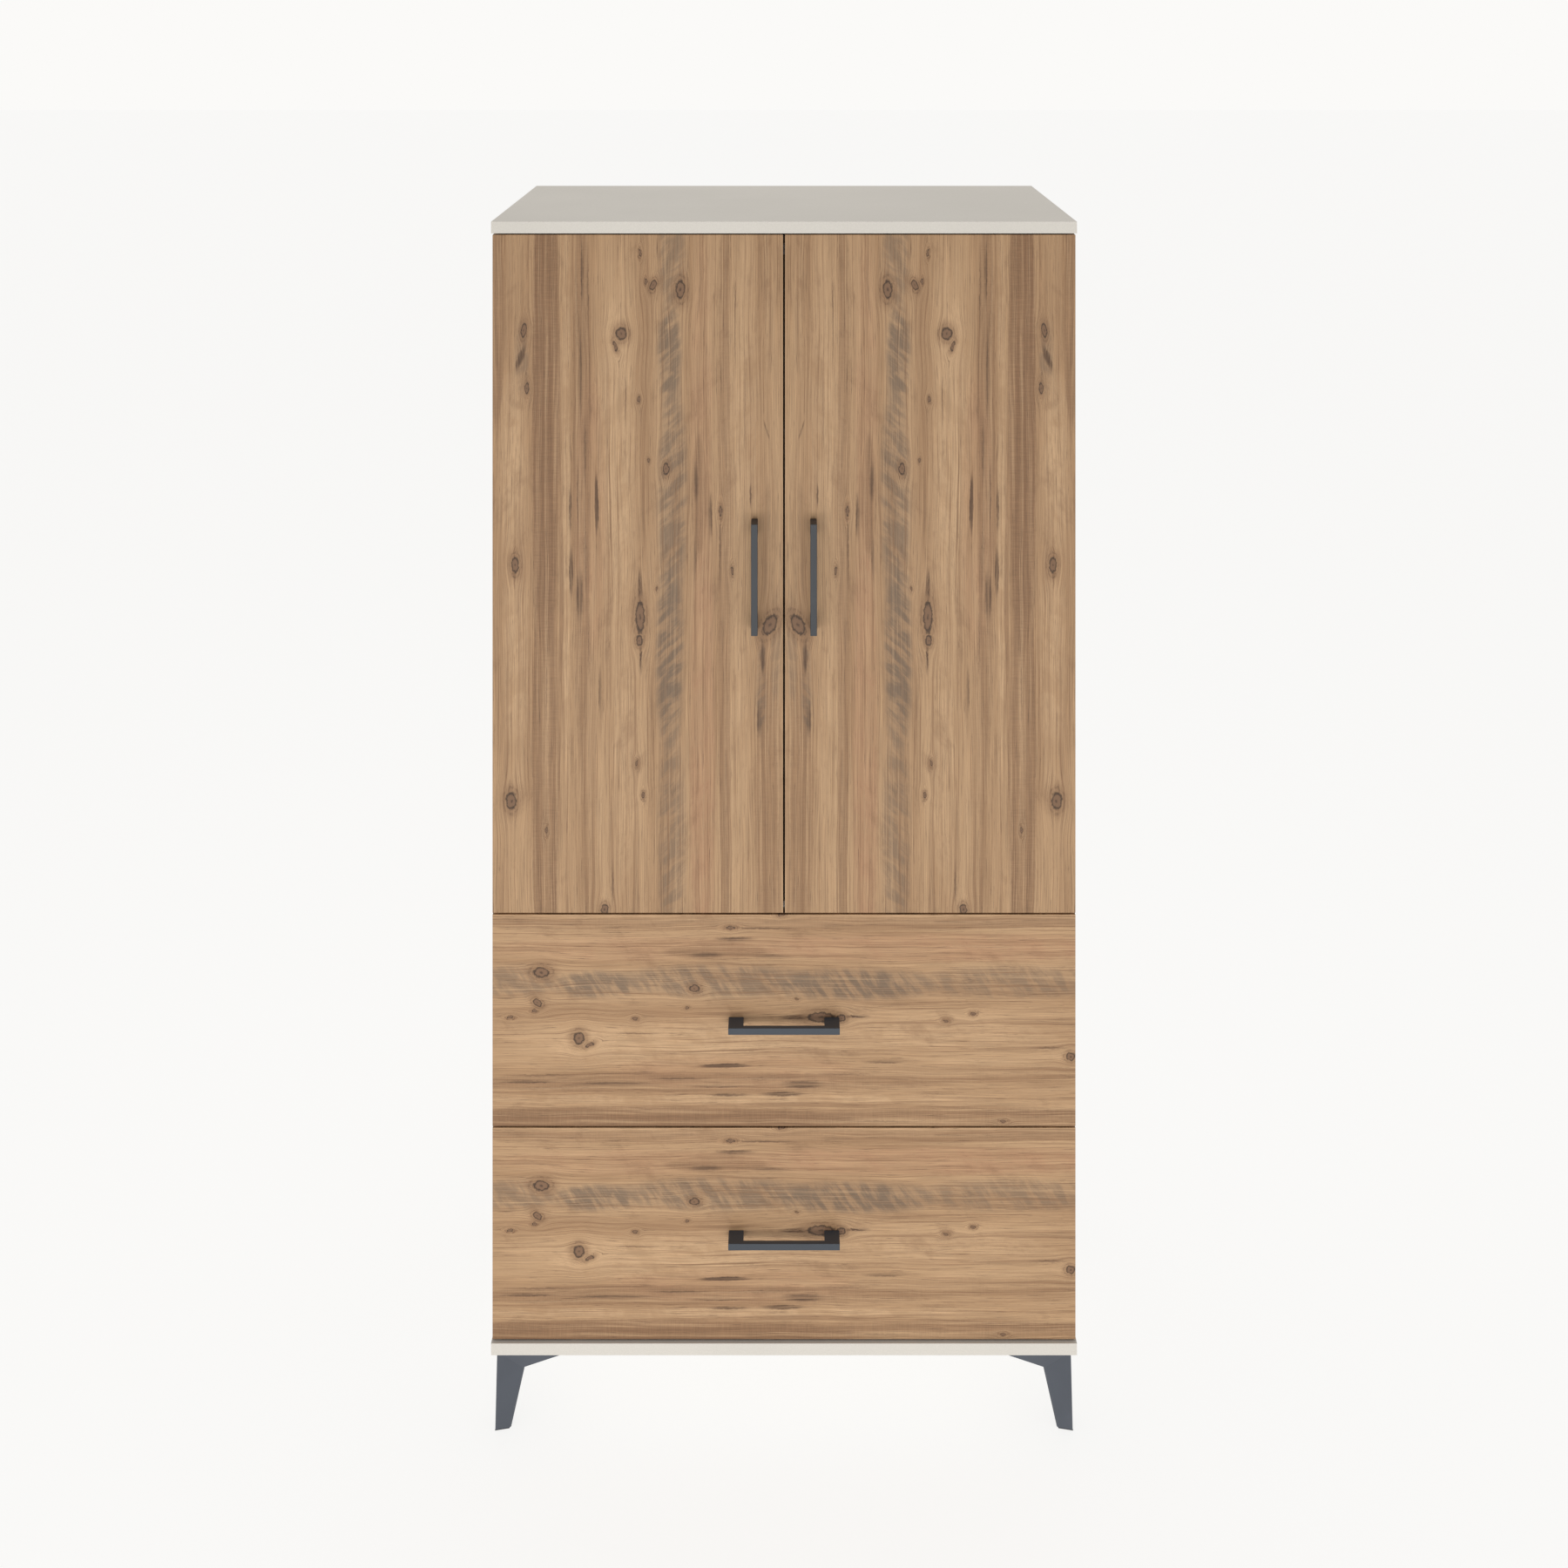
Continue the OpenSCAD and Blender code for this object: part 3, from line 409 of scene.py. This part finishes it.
def makeDecorGroup():
    tree, given, out = newGroup(
        "pineDecor",
        [("Across", "NodeSocketFloat", 0.0), ("Along", "NodeSocketFloat", 0.0)],
        [("Color", "NodeSocketColor"), ("Roughness", "NodeSocketFloat"), ("Height", "NodeSocketFloat")],
    )
    across, along = given["Across"], given["Along"]
    tones = {tone: (*color, 1.0) for tone, color in pineDecor["tones"].items()}

    def field(acrossValue, label):
        perAcross, perAlong, detail, rough, shift, shear = pineDecor["fields"][label]
        row = calc(tree, "MULTIPLY", along, perAlong)
        if shear:
            row = calc(tree, "MULTIPLY_ADD", acrossValue, shear * perAlong, row)
        column = calc(tree, "MULTIPLY_ADD", acrossValue, perAcross, shift)
        return noise(tree, combine(tree, column, row, shift), 1.0, detail, rough)

    def swung(label):  # noise that swings to either side of nothing
        reach = pineDecor["swings"][label]
        return calc(tree, "MULTIPLY_ADD", field(across, label), 2.0 * reach, -reach)

    ragged = swung("ragged")
    nearest, bend = knotPull["farSquared"], 0.0
    walked = combine(tree, calc(tree, "ADD", across, ragged), along)
    for middleAcross, middleAlong, halfWidth, halfLength, turn in pineDecor["knots"]:
        made = useGroup(
            tree,
            knotGroup,
            Place=walked,
            Middle=(middleAcross, middleAlong, 0.0),
            Turn=(0.0, 0.0, turn),
            Size=(halfWidth, halfLength, 1.0),
            Nearest=nearest,
            Bend=bend,
        )
        walked, nearest, bend = made["Place"], made["Nearest"], made["Bend"]
    nearest = calc(tree, "SQRT", nearest)

    # the grain wanders a little sideways and runs round the knots
    wander = swung("wander")
    straight = calc(tree, "ADD", across, wander)
    grain = calc(tree, "ADD", straight, bend)
    frayed = calc(tree, "MULTIPLY_ADD", wander, 0.4, across)
    frayed = calc(tree, "MULTIPLY_ADD", ragged, 0.5, frayed)
    walked = combine(tree, frayed, along)
    shares = {}
    for tone, patches in pineDecor["patches"].items():
        shares[tone] = 0.0
        for middleAcross, middleAlong, halfWidth, halfLength, strength, turn in patches:
            made = useGroup(
                tree,
                patchGroup,
                Place=walked,
                Middle=(middleAcross, middleAlong, 0.0),
                Turn=(0.0, 0.0, turn),
                Size=(halfWidth, halfLength, 1.0),
                **{"Strength": strength, "Full Within": pineDecor["fullWithin"][tone], "Share": shares[tone]},
            )
            walked, shares[tone] = made["Place"], made["Share"]

    noises = {"broad": field(straight, "broad"), "cloud": field(across, "cloud")}
    for label in ("years", "lines", "hairs", "flecks"):
        noises[label] = field(grain, label)
    slope = calc(tree, "ADD", across, along)
    dip = calc(tree, "SUBTRACT", across, along)
    brush = pineDecor["strokes"]
    finely = calc(tree, "MULTIPLY", slope, brush["finely"])
    broadly = calc(tree, "MULTIPLY", dip, brush["broadly"])
    strokes = combine(tree, finely, broadly, brush["shift"])
    noises["strokes"] = noise(tree, strokes, 1.0, brush["detail"], brush["roughness"])
    lines, hairs = noises["lines"], noises["hairs"]

    def patched(color, tone):  # mixes a tone in where its patches lie
        label, low, high, least = pineDecor["broken"][tone]
        amount = calc(tree, "MULTIPLY", shares[tone], remap(tree, noises[label], low, high, least, 1.0))
        return mixColor(tree, amount, color, tones[tone])

    def tinted(color, tint):  # mixes a tone in where its noise lets it
        label, low, high, strength, tone = pineDecor["tints"][tint]
        amount = calc(tree, "MULTIPLY", remap(tree, noises[label], low, high), strength)
        return mixColor(tree, amount, color, tones[tone])

    color = mixColor(tree, remap(tree, noises["broad"], 0.36, 0.64), tones["light"], tones["mid"])
    for tone in ("pale", "rosy", "brown", "grey"):
        color = patched(color, tone)
    for tint in ("darkYears", "paleYears", "darkLines", "paleLines"):
        color = tinted(color, tint)
    # thin dark lines lie along the edges of the grain
    thinLines = pineDecor["thinLines"]
    edge = calc(tree, "ABSOLUTE", calc(tree, "SUBTRACT", lines, thinLines["along"]))
    thin = remap(tree, edge, thinLines["outside"], thinLines["inside"])
    thin = calc(tree, "MULTIPLY", thin, remap(tree, noises["cloud"], 0.42, 0.60))
    thin = calc(tree, "MULTIPLY", thin, thinLines["strength"])
    color = mixColor(tree, thin, color, tones["streak"])
    color = tinted(color, "clouds")
    # dark streaks break up along the grain's lines
    broken = remap(tree, hairs, 0.40, 0.54, 0.20, 1.0)
    broken = calc(tree, "MULTIPLY", broken, remap(tree, lines, 0.40, 0.52, 0.25, 1.0))
    streaky = calc(tree, "MULTIPLY", shares["streak"], broken)
    streaky = calc(tree, "MULTIPLY", streaky, pineDecor["streakStrength"], clamp=True)
    color = mixColor(tree, streaky, color, tones["streak"])
    color = tinted(color, "flecks")
    # the whole print is lighter and darker along the hairs, and across the saw marks in the brown bands
    shades = pineDecor["shade"]
    shade = calc(tree, "MULTIPLY_ADD", hairs, shades["hairs"], shades["least"])
    sawn = calc(tree, "MULTIPLY", swung("saw"), calc(tree, "MULTIPLY", shares["brown"], shades["saw"]))
    shade = calc(tree, "ADD", shade, sawn)
    color = mixColor(tree, 1.0, color, combine(tree, shade, shade, shade), "MULTIPLY")

    # knots: a dark rim round a paler heart with a dark core, in a brown shadow that thins out
    rimmed = calc(tree, "ADD", nearest, swung("rimmed"))

    def ringAt(label):
        start, full, strength = pineDecor["rings"][label]
        return remap(tree, rimmed, start, full, 0.0, strength)

    color = mixColor(tree, ringAt("shadow"), color, tones["brown"])
    outer = calc(tree, "MULTIPLY", remap(tree, rimmed, 1.80, 1.62), remap(tree, rimmed, 1.38, 1.52))
    outer = calc(tree, "MULTIPLY", outer, remap(tree, lines, 0.40, 0.60, 0.0, 0.38))
    color = mixColor(tree, outer, color, tones["streak"])
    rim = ringAt("rim")
    color = mixColor(tree, rim, color, tones["knotRim"])
    color = mixColor(tree, ringAt("heart"), color, tones["knotHeart"])
    color = mixColor(tree, ringAt("core"), color, tones["knotRim"])

    tree.links.new(color, out["Color"])
    relief = calc(tree, "ADD", calc(tree, "MULTIPLY", lines, 0.5), calc(tree, "MULTIPLY", hairs, 0.5))
    tree.links.new(remap(tree, relief, 0.3, 0.7, 0.50, 0.62), out["Roughness"])
    deep = calc(tree, "SUBTRACT", relief, calc(tree, "MULTIPLY", rim, 0.35))
    tree.links.new(calc(tree, "MULTIPLY_ADD", streaky, -0.25, deep), out["Height"])
    return tree


decorGroup = makeDecorGroup()
print("shared effects made")

mmPerMetre = 1000.0
# how the sheet lies on a drawer front, turned on its side, in mm, and the painted light that makes the print
# paler there
drawerPrint = {
    "alongScale": 0.854,
    "alongStart": 3.3,
    "acrossScale": 1.112,
    "acrossAtTop": 369.0,
    "paintedLightLift": 1.08,  # painted light: how much paler the print is made on the drawers, standing in for the extra light on the lower fronts
}


def makePineMaterial(name, node, kind):
    low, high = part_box(node)
    material, tree, shader = newMaterial(name, Specular_IOR_Level=0.35)
    where = split(tree, place(tree))
    if kind == "drawer":
        perMetre = mmPerMetre / drawerPrint["alongScale"]
        start = low.x + drawerPrint["alongStart"] / mmPerMetre
        along = calc(tree, "MULTIPLY_ADD", where["X"], perMetre, -start * perMetre)
        perMetre = mmPerMetre / drawerPrint["acrossScale"]
        atFloor = drawerPrint["acrossAtTop"] - high.z * perMetre
        across = calc(tree, "MULTIPLY_ADD", where["Z"], perMetre, atFloor)
    else:  # the sheet starts at the door's outer edge, so that the doors mirror each other
        perMetre, outerEdge = (mmPerMetre, low.x) if kind == "leftDoor" else (-mmPerMetre, high.x)
        across = calc(tree, "MULTIPLY_ADD", where["X"], perMetre, -outerEdge * perMetre)
        along = calc(tree, "MULTIPLY_ADD", where["Z"], -mmPerMetre, high.z * mmPerMetre)
    decor = useGroup(tree, decorGroup, Across=across, Along=along)
    # painted light: the drawer fronts' print is made paler than the doors', standing in for the light that
    # falls on them
    paintedLightLift = drawerPrint["paintedLightLift"] if kind == "drawer" else 1.0
    paintedLighterPrint = mixColor(tree, 1.0, decor["Color"], (paintedLightLift, paintedLightLift, paintedLightLift, 1.0), "MULTIPLY")
    tree.links.new(paintedLighterPrint, shader["Base Color"])
    tree.links.new(decor["Roughness"], shader["Roughness"])
    tree.links.new(bump(tree, decor["Height"], 0.25, 0.0003), shader["Normal"])
    return material


def shaded(color, amount=1.0):
    return (*(channel * amount for channel in color), 1.0)


def makeMelamine(name, color, gritStrength):
    material, tree, shader = newMaterial(name, Specular_IOR_Level=0.40)
    wear = useGroup(tree, wearGroup, **{"Vector": place(tree), "Grit Size": 700.0, "Patch Size": 5.0})
    mottled = mixColor(tree, remap(tree, wear["Mottle"], 0.3, 0.7), shaded(color, 0.97), shaded(color))
    speck = remap(tree, wear["Grit"], 0.35, 0.65, 0.965, 1.02)
    specked = mixColor(tree, 1.0, mottled, combine(tree, speck, speck, speck), "MULTIPLY")
    tree.links.new(specked, shader["Base Color"])
    tree.links.new(remap(tree, wear["Rub"], 0.0, 1.0, 0.58, 0.50), shader["Roughness"])
    tree.links.new(bump(tree, wear["Grit"], gritStrength, 0.00015), shader["Normal"])
    return material


def makeCoatedMetal(name, color):  # fine powder coat, a little paler where it is rubbed
    material, tree, shader = newMaterial(name, Specular_IOR_Level=0.5)
    wear = useGroup(tree, wearGroup, **{"Vector": place(tree), "Grit Size": 1600.0, "Patch Size": 22.0})
    mottled = mixColor(tree, remap(tree, wear["Mottle"], 0.3, 0.7), shaded(color, 0.93), shaded(color))
    rubbed = mixColor(tree, calc(tree, "MULTIPLY", wear["Rub"], 0.15), mottled, shaded(color, 1.5))
    tree.links.new(rubbed, shader["Base Color"])
    tree.links.new(remap(tree, wear["Rub"], 0.0, 1.0, 0.46, 0.36), shader["Roughness"])
    tree.links.new(bump(tree, wear["Grit"], 0.35, 0.0001), shader["Normal"])
    return material


def makeBareMetal(name, color, roughness, brushed):
    material, tree, shader = newMaterial(name, Metallic=1.0)
    where = place(tree)
    wear = useGroup(tree, wearGroup, **{"Vector": where, "Grit Size": 500.0, "Patch Size": 30.0})
    lines = noise(tree, stretched(tree, where, brushed), 1.0, 3.0, 0.6)
    lined = mixColor(tree, remap(tree, lines, 0.3, 0.7), shaded(color, 0.88), shaded(color))
    dull = (0.35, 0.34, 0.32, 1.0)
    rubbed = mixColor(tree, calc(tree, "MULTIPLY", wear["Rub"], 0.2), lined, dull)
    tree.links.new(rubbed, shader["Base Color"])
    rough = remap(tree, wear["Mottle"], 0.3, 0.7, roughness * 0.8, roughness * 1.3)
    tree.links.new(rough, shader["Roughness"])
    tree.links.new(bump(tree, lines, 0.2, 0.00005), shader["Normal"])
    return material


def makePlastic(name, color, roughness):
    material, tree, shader = newMaterial(name)
    wear = useGroup(tree, wearGroup, **{"Vector": place(tree), "Grit Size": 1200.0, "Patch Size": 40.0})
    tree.links.new(mixColor(tree, wear["Mottle"], shaded(color, 0.85), shaded(color)), shader["Base Color"])
    tree.links.new(remap(tree, wear["Rub"], 0.0, 1.0, roughness, roughness * 0.75), shader["Roughness"])
    tree.links.new(bump(tree, wear["Grit"], 0.3, 0.0001), shader["Normal"])
    return material


def makeBeech(name):
    material, tree, shader = newMaterial(name, Specular_IOR_Level=0.3)
    where = place(tree)
    grain = noise(tree, stretched(tree, where, (60.0, 900.0, 900.0)), 1.0, 4.0, 0.6)
    dark, light = (0.42, 0.27, 0.15, 1.0), (0.66, 0.48, 0.30, 1.0)
    tree.links.new(mixColor(tree, grain, dark, light), shader["Base Color"])
    tree.links.new(remap(tree, grain, 0.3, 0.7, 0.55, 0.75), shader["Roughness"])
    tree.links.new(bump(tree, grain, 0.4, 0.0002), shader["Normal"])
    return material


finishes = {
    "cream_melamine": makeMelamine("creamMelamine", (0.735, 0.700, 0.640), 0.18),
    "cream_hardboard": makeMelamine("creamHardboard", (0.715, 0.675, 0.610), 0.45),
    "anthracite_metal": makeCoatedMetal("anthraciteCoat", (0.073, 0.084, 0.106)),
    "zinc_steel": makeBareMetal("brightZinc", (0.62, 0.64, 0.66), 0.34, (1400.0, 90.0, 1400.0)),
    "nickel_steel": makeBareMetal("nickelPlate", (0.66, 0.63, 0.58), 0.24, (700.0, 700.0, 90.0)),
    "chrome_tube": makeBareMetal("chromeTube", (0.42, 0.43, 0.45), 0.30, (60.0, 900.0, 900.0)),
    "black_plastic": makePlastic("footPlastic", (0.030, 0.030, 0.034), 0.5),
    "clear_plastic": makePlastic("bumperPlastic", (0.72, 0.74, 0.73), 0.25),
    "beech": makeBeech("beechDowel"),
}
# painted light: one anthracite coat in two copies, darker on the door handles as painted shade and paler on
# the drawer handles, which stand lower and take more light
doorHandleShadedCoat = makeCoatedMetal("doorHandleShadedCoat", (0.029, 0.033, 0.040))
drawerHandleLitCoat = makeCoatedMetal("drawerHandleLitCoat", (0.049, 0.060, 0.077))
frontFinishes = {
    "left_door": makePineMaterial("pineLeftDoor", "left_door", "leftDoor"),
    "right_door": makePineMaterial("pineRightDoor", "right_door", "rightDoor"),
    "upper_drawer_front": makePineMaterial("pineUpperDrawer", "upper_drawer_front", "drawer"),
    "lower_drawer_front": makePineMaterial("pineLowerDrawer", "lower_drawer_front", "drawer"),
}


def dress(piece, material):
    piece.data.materials.clear()
    piece.data.materials.append(material)


def softenEdges(piece, width, segments=2, angle=50.0):
    modifier = piece.modifiers.new("softEdges", "BEVEL")
    modifier.width = width
    modifier.segments = segments
    modifier.limit_method = "ANGLE"
    modifier.angle_limit = math.radians(angle)
    modifier.use_clamp_overlap = True
    modifier.harden_normals = False


boardEdges = {"panel": 0.0007, "front": 0.0009, "drawerBoard": 0.0006}
slotOf = {part["node"]: part["material_slot"] for part in frame["record"]["subparts"]}
for name, piece in nodes.items():
    dress(piece, frontFinishes.get(name) or finishes[slotOf[name]])
for name in ("top_panel", "base_panel", "fixed_shelf", "left_side_panel", "right_side_panel"):
    softenEdges(nodes[name], boardEdges["panel"])
for name in frontFinishes:
    softenEdges(nodes[name], boardEdges["front"])
for name in nodes:
    if name.endswith(("drawer_left_side", "drawer_right_side", "drawer_back")):
        softenEdges(nodes[name], boardEdges["drawerBoard"])
print("finishes on the CAD nodes")


def newPiece(name, mesh, body, slotName, material, *replaced):
    piece = bpy.data.objects.new(name, mesh)
    bpy.context.scene.collection.objects.link(piece)
    dress(piece, material)
    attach(piece, body)
    if replaced:
        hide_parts(*replaced)
    return piece


def solidFrom(name, points, faces):
    mesh = bpy.data.meshes.new(name)
    build = bmesh.new()
    made = [build.verts.new(p) for p in points]
    for face in faces:
        build.faces.new([made[i] for i in face])
    bmesh.ops.recalc_face_normals(build, faces=build.faces)
    build.to_mesh(mesh)
    build.free()
    return mesh


def prismFaces(count):  # two outlines of so many points, one after the other, and the sides between them
    sides = [[i, (i + 1) % count, (i + 1) % count + count, i + count] for i in range(count)]
    return [list(range(count)), list(range(2 * count - 1, count - 1, -1))] + sides


# bar handles: a flat bar on two wide posts, with broken edges
barHandle = {"post": 0.023, "bar": 0.008, "edge": 0.0007}


def makeHandle(name, node, body, coat):
    low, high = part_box(node)
    middle = (low + high) / 2
    upright = high.z - low.z > high.x - low.x
    half = (high.z - low.z if upright else high.x - low.x) / 2
    halfFace = (high.x - low.x if upright else high.z - low.z) / 2
    inner = half - barHandle["post"]
    backOfBar = low.y + barHandle["bar"]
    outline = [
        (-half, high.y), (-half, low.y), (half, low.y), (half, high.y),
        (inner, high.y), (inner, backOfBar), (-inner, backOfBar), (-inner, high.y),
    ]
    points = []
    for side in (-halfFace, halfFace):
        for run, y in outline:
            x, z = (side, run) if upright else (run, side)
            points.append((middle.x + x, y, middle.z + z))
    mesh = solidFrom(name, points, prismFaces(len(outline)))
    piece = newPiece(name, mesh, body, "anthracite_metal", coat, node)
    softenEdges(piece, barHandle["edge"], 3)


makeHandle("leftDoorBarHandle", "left_door_handle", "left_door", doorHandleShadedCoat)
makeHandle("rightDoorBarHandle", "right_door_handle", "right_door", doorHandleShadedCoat)
makeHandle("upperDrawerBarHandle", "upper_drawer_handle", "upper_drawer", drawerHandleLitCoat)
makeHandle("lowerDrawerBarHandle", "lower_drawer_handle", "lower_drawer", drawerHandleLitCoat)
print("handles made")

# folded sheet legs: distances in metres from the base panel's corner and its underside
sheetLeg = {
    "inset": 0.0075,
    "arm": 0.115,
    "footInset": 0.005,
    "foot": 0.022,
    "footSlope": 0.0047,
    "knee": (0.047, 0.0156, -0.031),
    "sheet": 0.0025,
    "foldRadius": 0.0030,
    "innerFold": 0.4,  # as a share of the fold's radius
    "edgeRadius": 0.0006,
}
legFlange = {
    "gap": 0.0005,
    "short": 0.012,
    "width": 0.028,
    "taper": 0.020,
    "slope": 0.004,
    "notch": 0.010,
    "edge": 0.0004,
}


def onCorner(points, signX, signY):  # points given inwards from a corner of the base panel's underside
    low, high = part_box("base_panel")
    x = high.x if signX > 0 else low.x
    y = high.y if signY > 0 else low.y
    return [(x - signX * u, y - signY * v, low.z + z) for u, v, z in points]


def makeLeg(name, node, signX, signY):
    leg = sheetLeg
    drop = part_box(node)[0].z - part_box("base_panel")[0].z
    inset = leg["inset"]
    toe = (leg["footInset"] + leg["foot"], leg["footInset"] + leg["footSlope"], drop)
    tip = (inset + leg["arm"], inset, 0.0)
    knee = leg["knee"]
    outer = [(inset, inset, 0.0), (leg["footInset"], leg["footInset"], drop), toe, knee, tip]
    outer += [(p[1], p[0], p[2]) for p in (toe, knee, tip)]
    thick = leg["sheet"]
    points = outer + [(u + thick, v + thick, z) for u, v, z in outer]
    count = len(outer)
    wings = [(0, 2, 1), (0, 3, 2), (0, 4, 3), (0, 1, 5), (0, 5, 6), (0, 6, 7)]
    rim = [0, 4, 3, 2, 1, 5, 6, 7]
    faces = list(wings) + [tuple(i + count for i in reversed(f)) for f in wings]
    for k in range(count):
        a, b = rim[k], rim[(k + 1) % count]
        faces.append((b, a, a + count, b + count))
    mesh = solidFrom(name, onCorner(points, signX, signY), faces)
    weights = mesh.attributes.new("bevel_weight_edge", "FLOAT", "EDGE")
    for edge in mesh.edges:
        ends = set(edge.vertices)
        onRim = any(ends == {rim[k] + s, rim[(k + 1) % count] + s} for k in range(count) for s in (0, count))
        if ends == {0, 1}:  # the outside of the fold
            weights.data[edge.index].value = 1.0
        elif ends == {count, count + 1}:  # the inside of the fold
            weights.data[edge.index].value = leg["innerFold"]
        elif onRim:
            weights.data[edge.index].value = leg["edgeRadius"] / leg["foldRadius"]
    piece = newPiece(name, mesh, "carcass", "anthracite_metal", finishes["anthracite_metal"], node)
    modifier = piece.modifiers.new("folds", "BEVEL")
    modifier.width = leg["foldRadius"]
    modifier.segments = 3
    modifier.limit_method = "WEIGHT"


def makeLegFlange(name, signX, signY):  # what the leg's screws go through
    flange = legFlange
    near = sheetLeg["inset"] + flange["gap"]
    far = sheetLeg["inset"] + sheetLeg["arm"] - flange["short"]
    wide = sheetLeg["inset"] + flange["width"]
    tip = (far - flange["taper"], wide - flange["slope"])
    arm = [(near, near), (far, near), tip, (wide + flange["notch"], wide)]
    outline = arm + [(v, u) for u, v in reversed(arm[1:])]
    points = [(u, v, z) for z in (0.0, -sheetLeg["sheet"]) for u, v in outline]
    mesh = solidFrom(name, onCorner(points, signX, signY), prismFaces(len(outline)))
    piece = newPiece(name, mesh, "carcass", "anthracite_metal", finishes["anthracite_metal"])
    softenEdges(piece, flange["edge"])


for endName, signY in (("front", -1), ("back", 1)):
    for sideName, signX in (("left", -1), ("right", 1)):
        corner = endName + sideName.title()
        makeLeg(f"{corner}FoldedLeg", f"{endName}_{sideName}_leg", signX, signY)
        makeLegFlange(f"{corner}LegFlange", signX, signY)
print("legs made")

studio = {
    "worldLight": 0.50,
    "backdrop": (0.965, 0.956, 0.939),
    "floorGlow": 0.82,
    "floorTone": 0.22,
    "floorHalf": 30.0,
    "skyTint": (1.0, 0.985, 0.965),
    "floorTint": (1.0, 0.995, 0.982),
    "lampTint": (1.0, 0.985, 0.96),
}
softboxes = {
    "frontSoftbox": {
        "place": (-0.4, -3.4, 0.36),
        "target": (0.0, 0.0, 0.36),
        "size": (4.5, 0.6),
        "power": 40.0,
    },
    "topSoftbox": {
        "place": (0.0, 0.4, 4.1),
        "target": (0.0, 0.3, 1.8),
        "size": (2.0, 1.4),
        "power": 16.5,
    },
}


def makeWorld():
    world = bpy.data.worlds.new("paleStudio")
    bpy.context.scene.world = world
    world.use_nodes = True
    tree = world.node_tree
    tree.nodes.clear()
    seen = tree.nodes.new("ShaderNodeBackground")
    seen.inputs["Color"].default_value = (*studio["backdrop"], 1.0)
    lit = tree.nodes.new("ShaderNodeBackground")
    lit.inputs["Color"].default_value = (*studio["skyTint"], 1.0)
    lit.inputs["Strength"].default_value = studio["worldLight"]
    mix = tree.nodes.new("ShaderNodeMixShader")
    path = tree.nodes.new("ShaderNodeLightPath")
    tree.links.new(path.outputs["Is Camera Ray"], mix.inputs[0])
    tree.links.new(lit.outputs[0], mix.inputs[1])
    tree.links.new(seen.outputs[0], mix.inputs[2])
    tree.links.new(mix.outputs[0], tree.nodes.new("ShaderNodeOutputWorld").inputs[0])


def makeFloor():
    mesh = bpy.data.meshes.new("floor")
    half = studio["floorHalf"]
    corners = [(-half, -half, 0), (half, -half, 0), (half, half, 0), (-half, half, 0)]
    mesh.from_pydata(corners, [], [(0, 1, 2, 3)])
    floor = bpy.data.objects.new("floor", mesh)
    bpy.context.scene.collection.objects.link(floor)
    material, tree, shader = newMaterial("paleFloor", Roughness=0.9, Specular_IOR_Level=0.1)
    shader["Base Color"].default_value = (studio["floorTone"],) * 3 + (1.0,)
    shader["Emission Color"].default_value = (*studio["floorTint"], 1.0)
    shader["Emission Strength"].default_value = studio["floorGlow"]
    dress(floor, material)


def makeSoftbox(name, box):
    light = bpy.data.lights.new(name, "AREA")
    light.shape = "RECTANGLE"
    light.size, light.size_y = box["size"]
    light.energy = box["power"]
    light.color = studio["lampTint"]
    lamp = bpy.data.objects.new(name, light)
    bpy.context.scene.collection.objects.link(lamp)
    lamp.location = box["place"]
    lamp.rotation_euler = (Vector(box["target"]) - lamp.location).to_track_quat("-Z", "Y").to_euler()


# the camera looks straight ahead from above the armoire's top; its frame is shifted down to the armoire
eye = {"back": 2.714, "height": 2.215, "lens": 40.57, "sensor": 36.0, "shiftY": -0.5056, "reach": 200.0}


def makeCamera():
    camera = bpy.data.cameras.new("camera")
    camera.lens = eye["lens"]
    camera.sensor_width = eye["sensor"]
    camera.shift_y = eye["shiftY"]
    camera.clip_end = eye["reach"]
    holder = bpy.data.objects.new("camera", camera)
    bpy.context.scene.collection.objects.link(holder)
    holder.location = (0.0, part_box("top_panel")[0].y - eye["back"], eye["height"])
    holder.rotation_euler = Vector((0, 1, 0)).to_track_quat("-Z", "Y").to_euler()
    bpy.context.scene.camera = holder


makeWorld()
makeFloor()
for name, box in softboxes.items():
    makeSoftbox(name, box)
makeCamera()
bpy.context.scene.view_settings.view_transform = "Standard"
print("studio set")
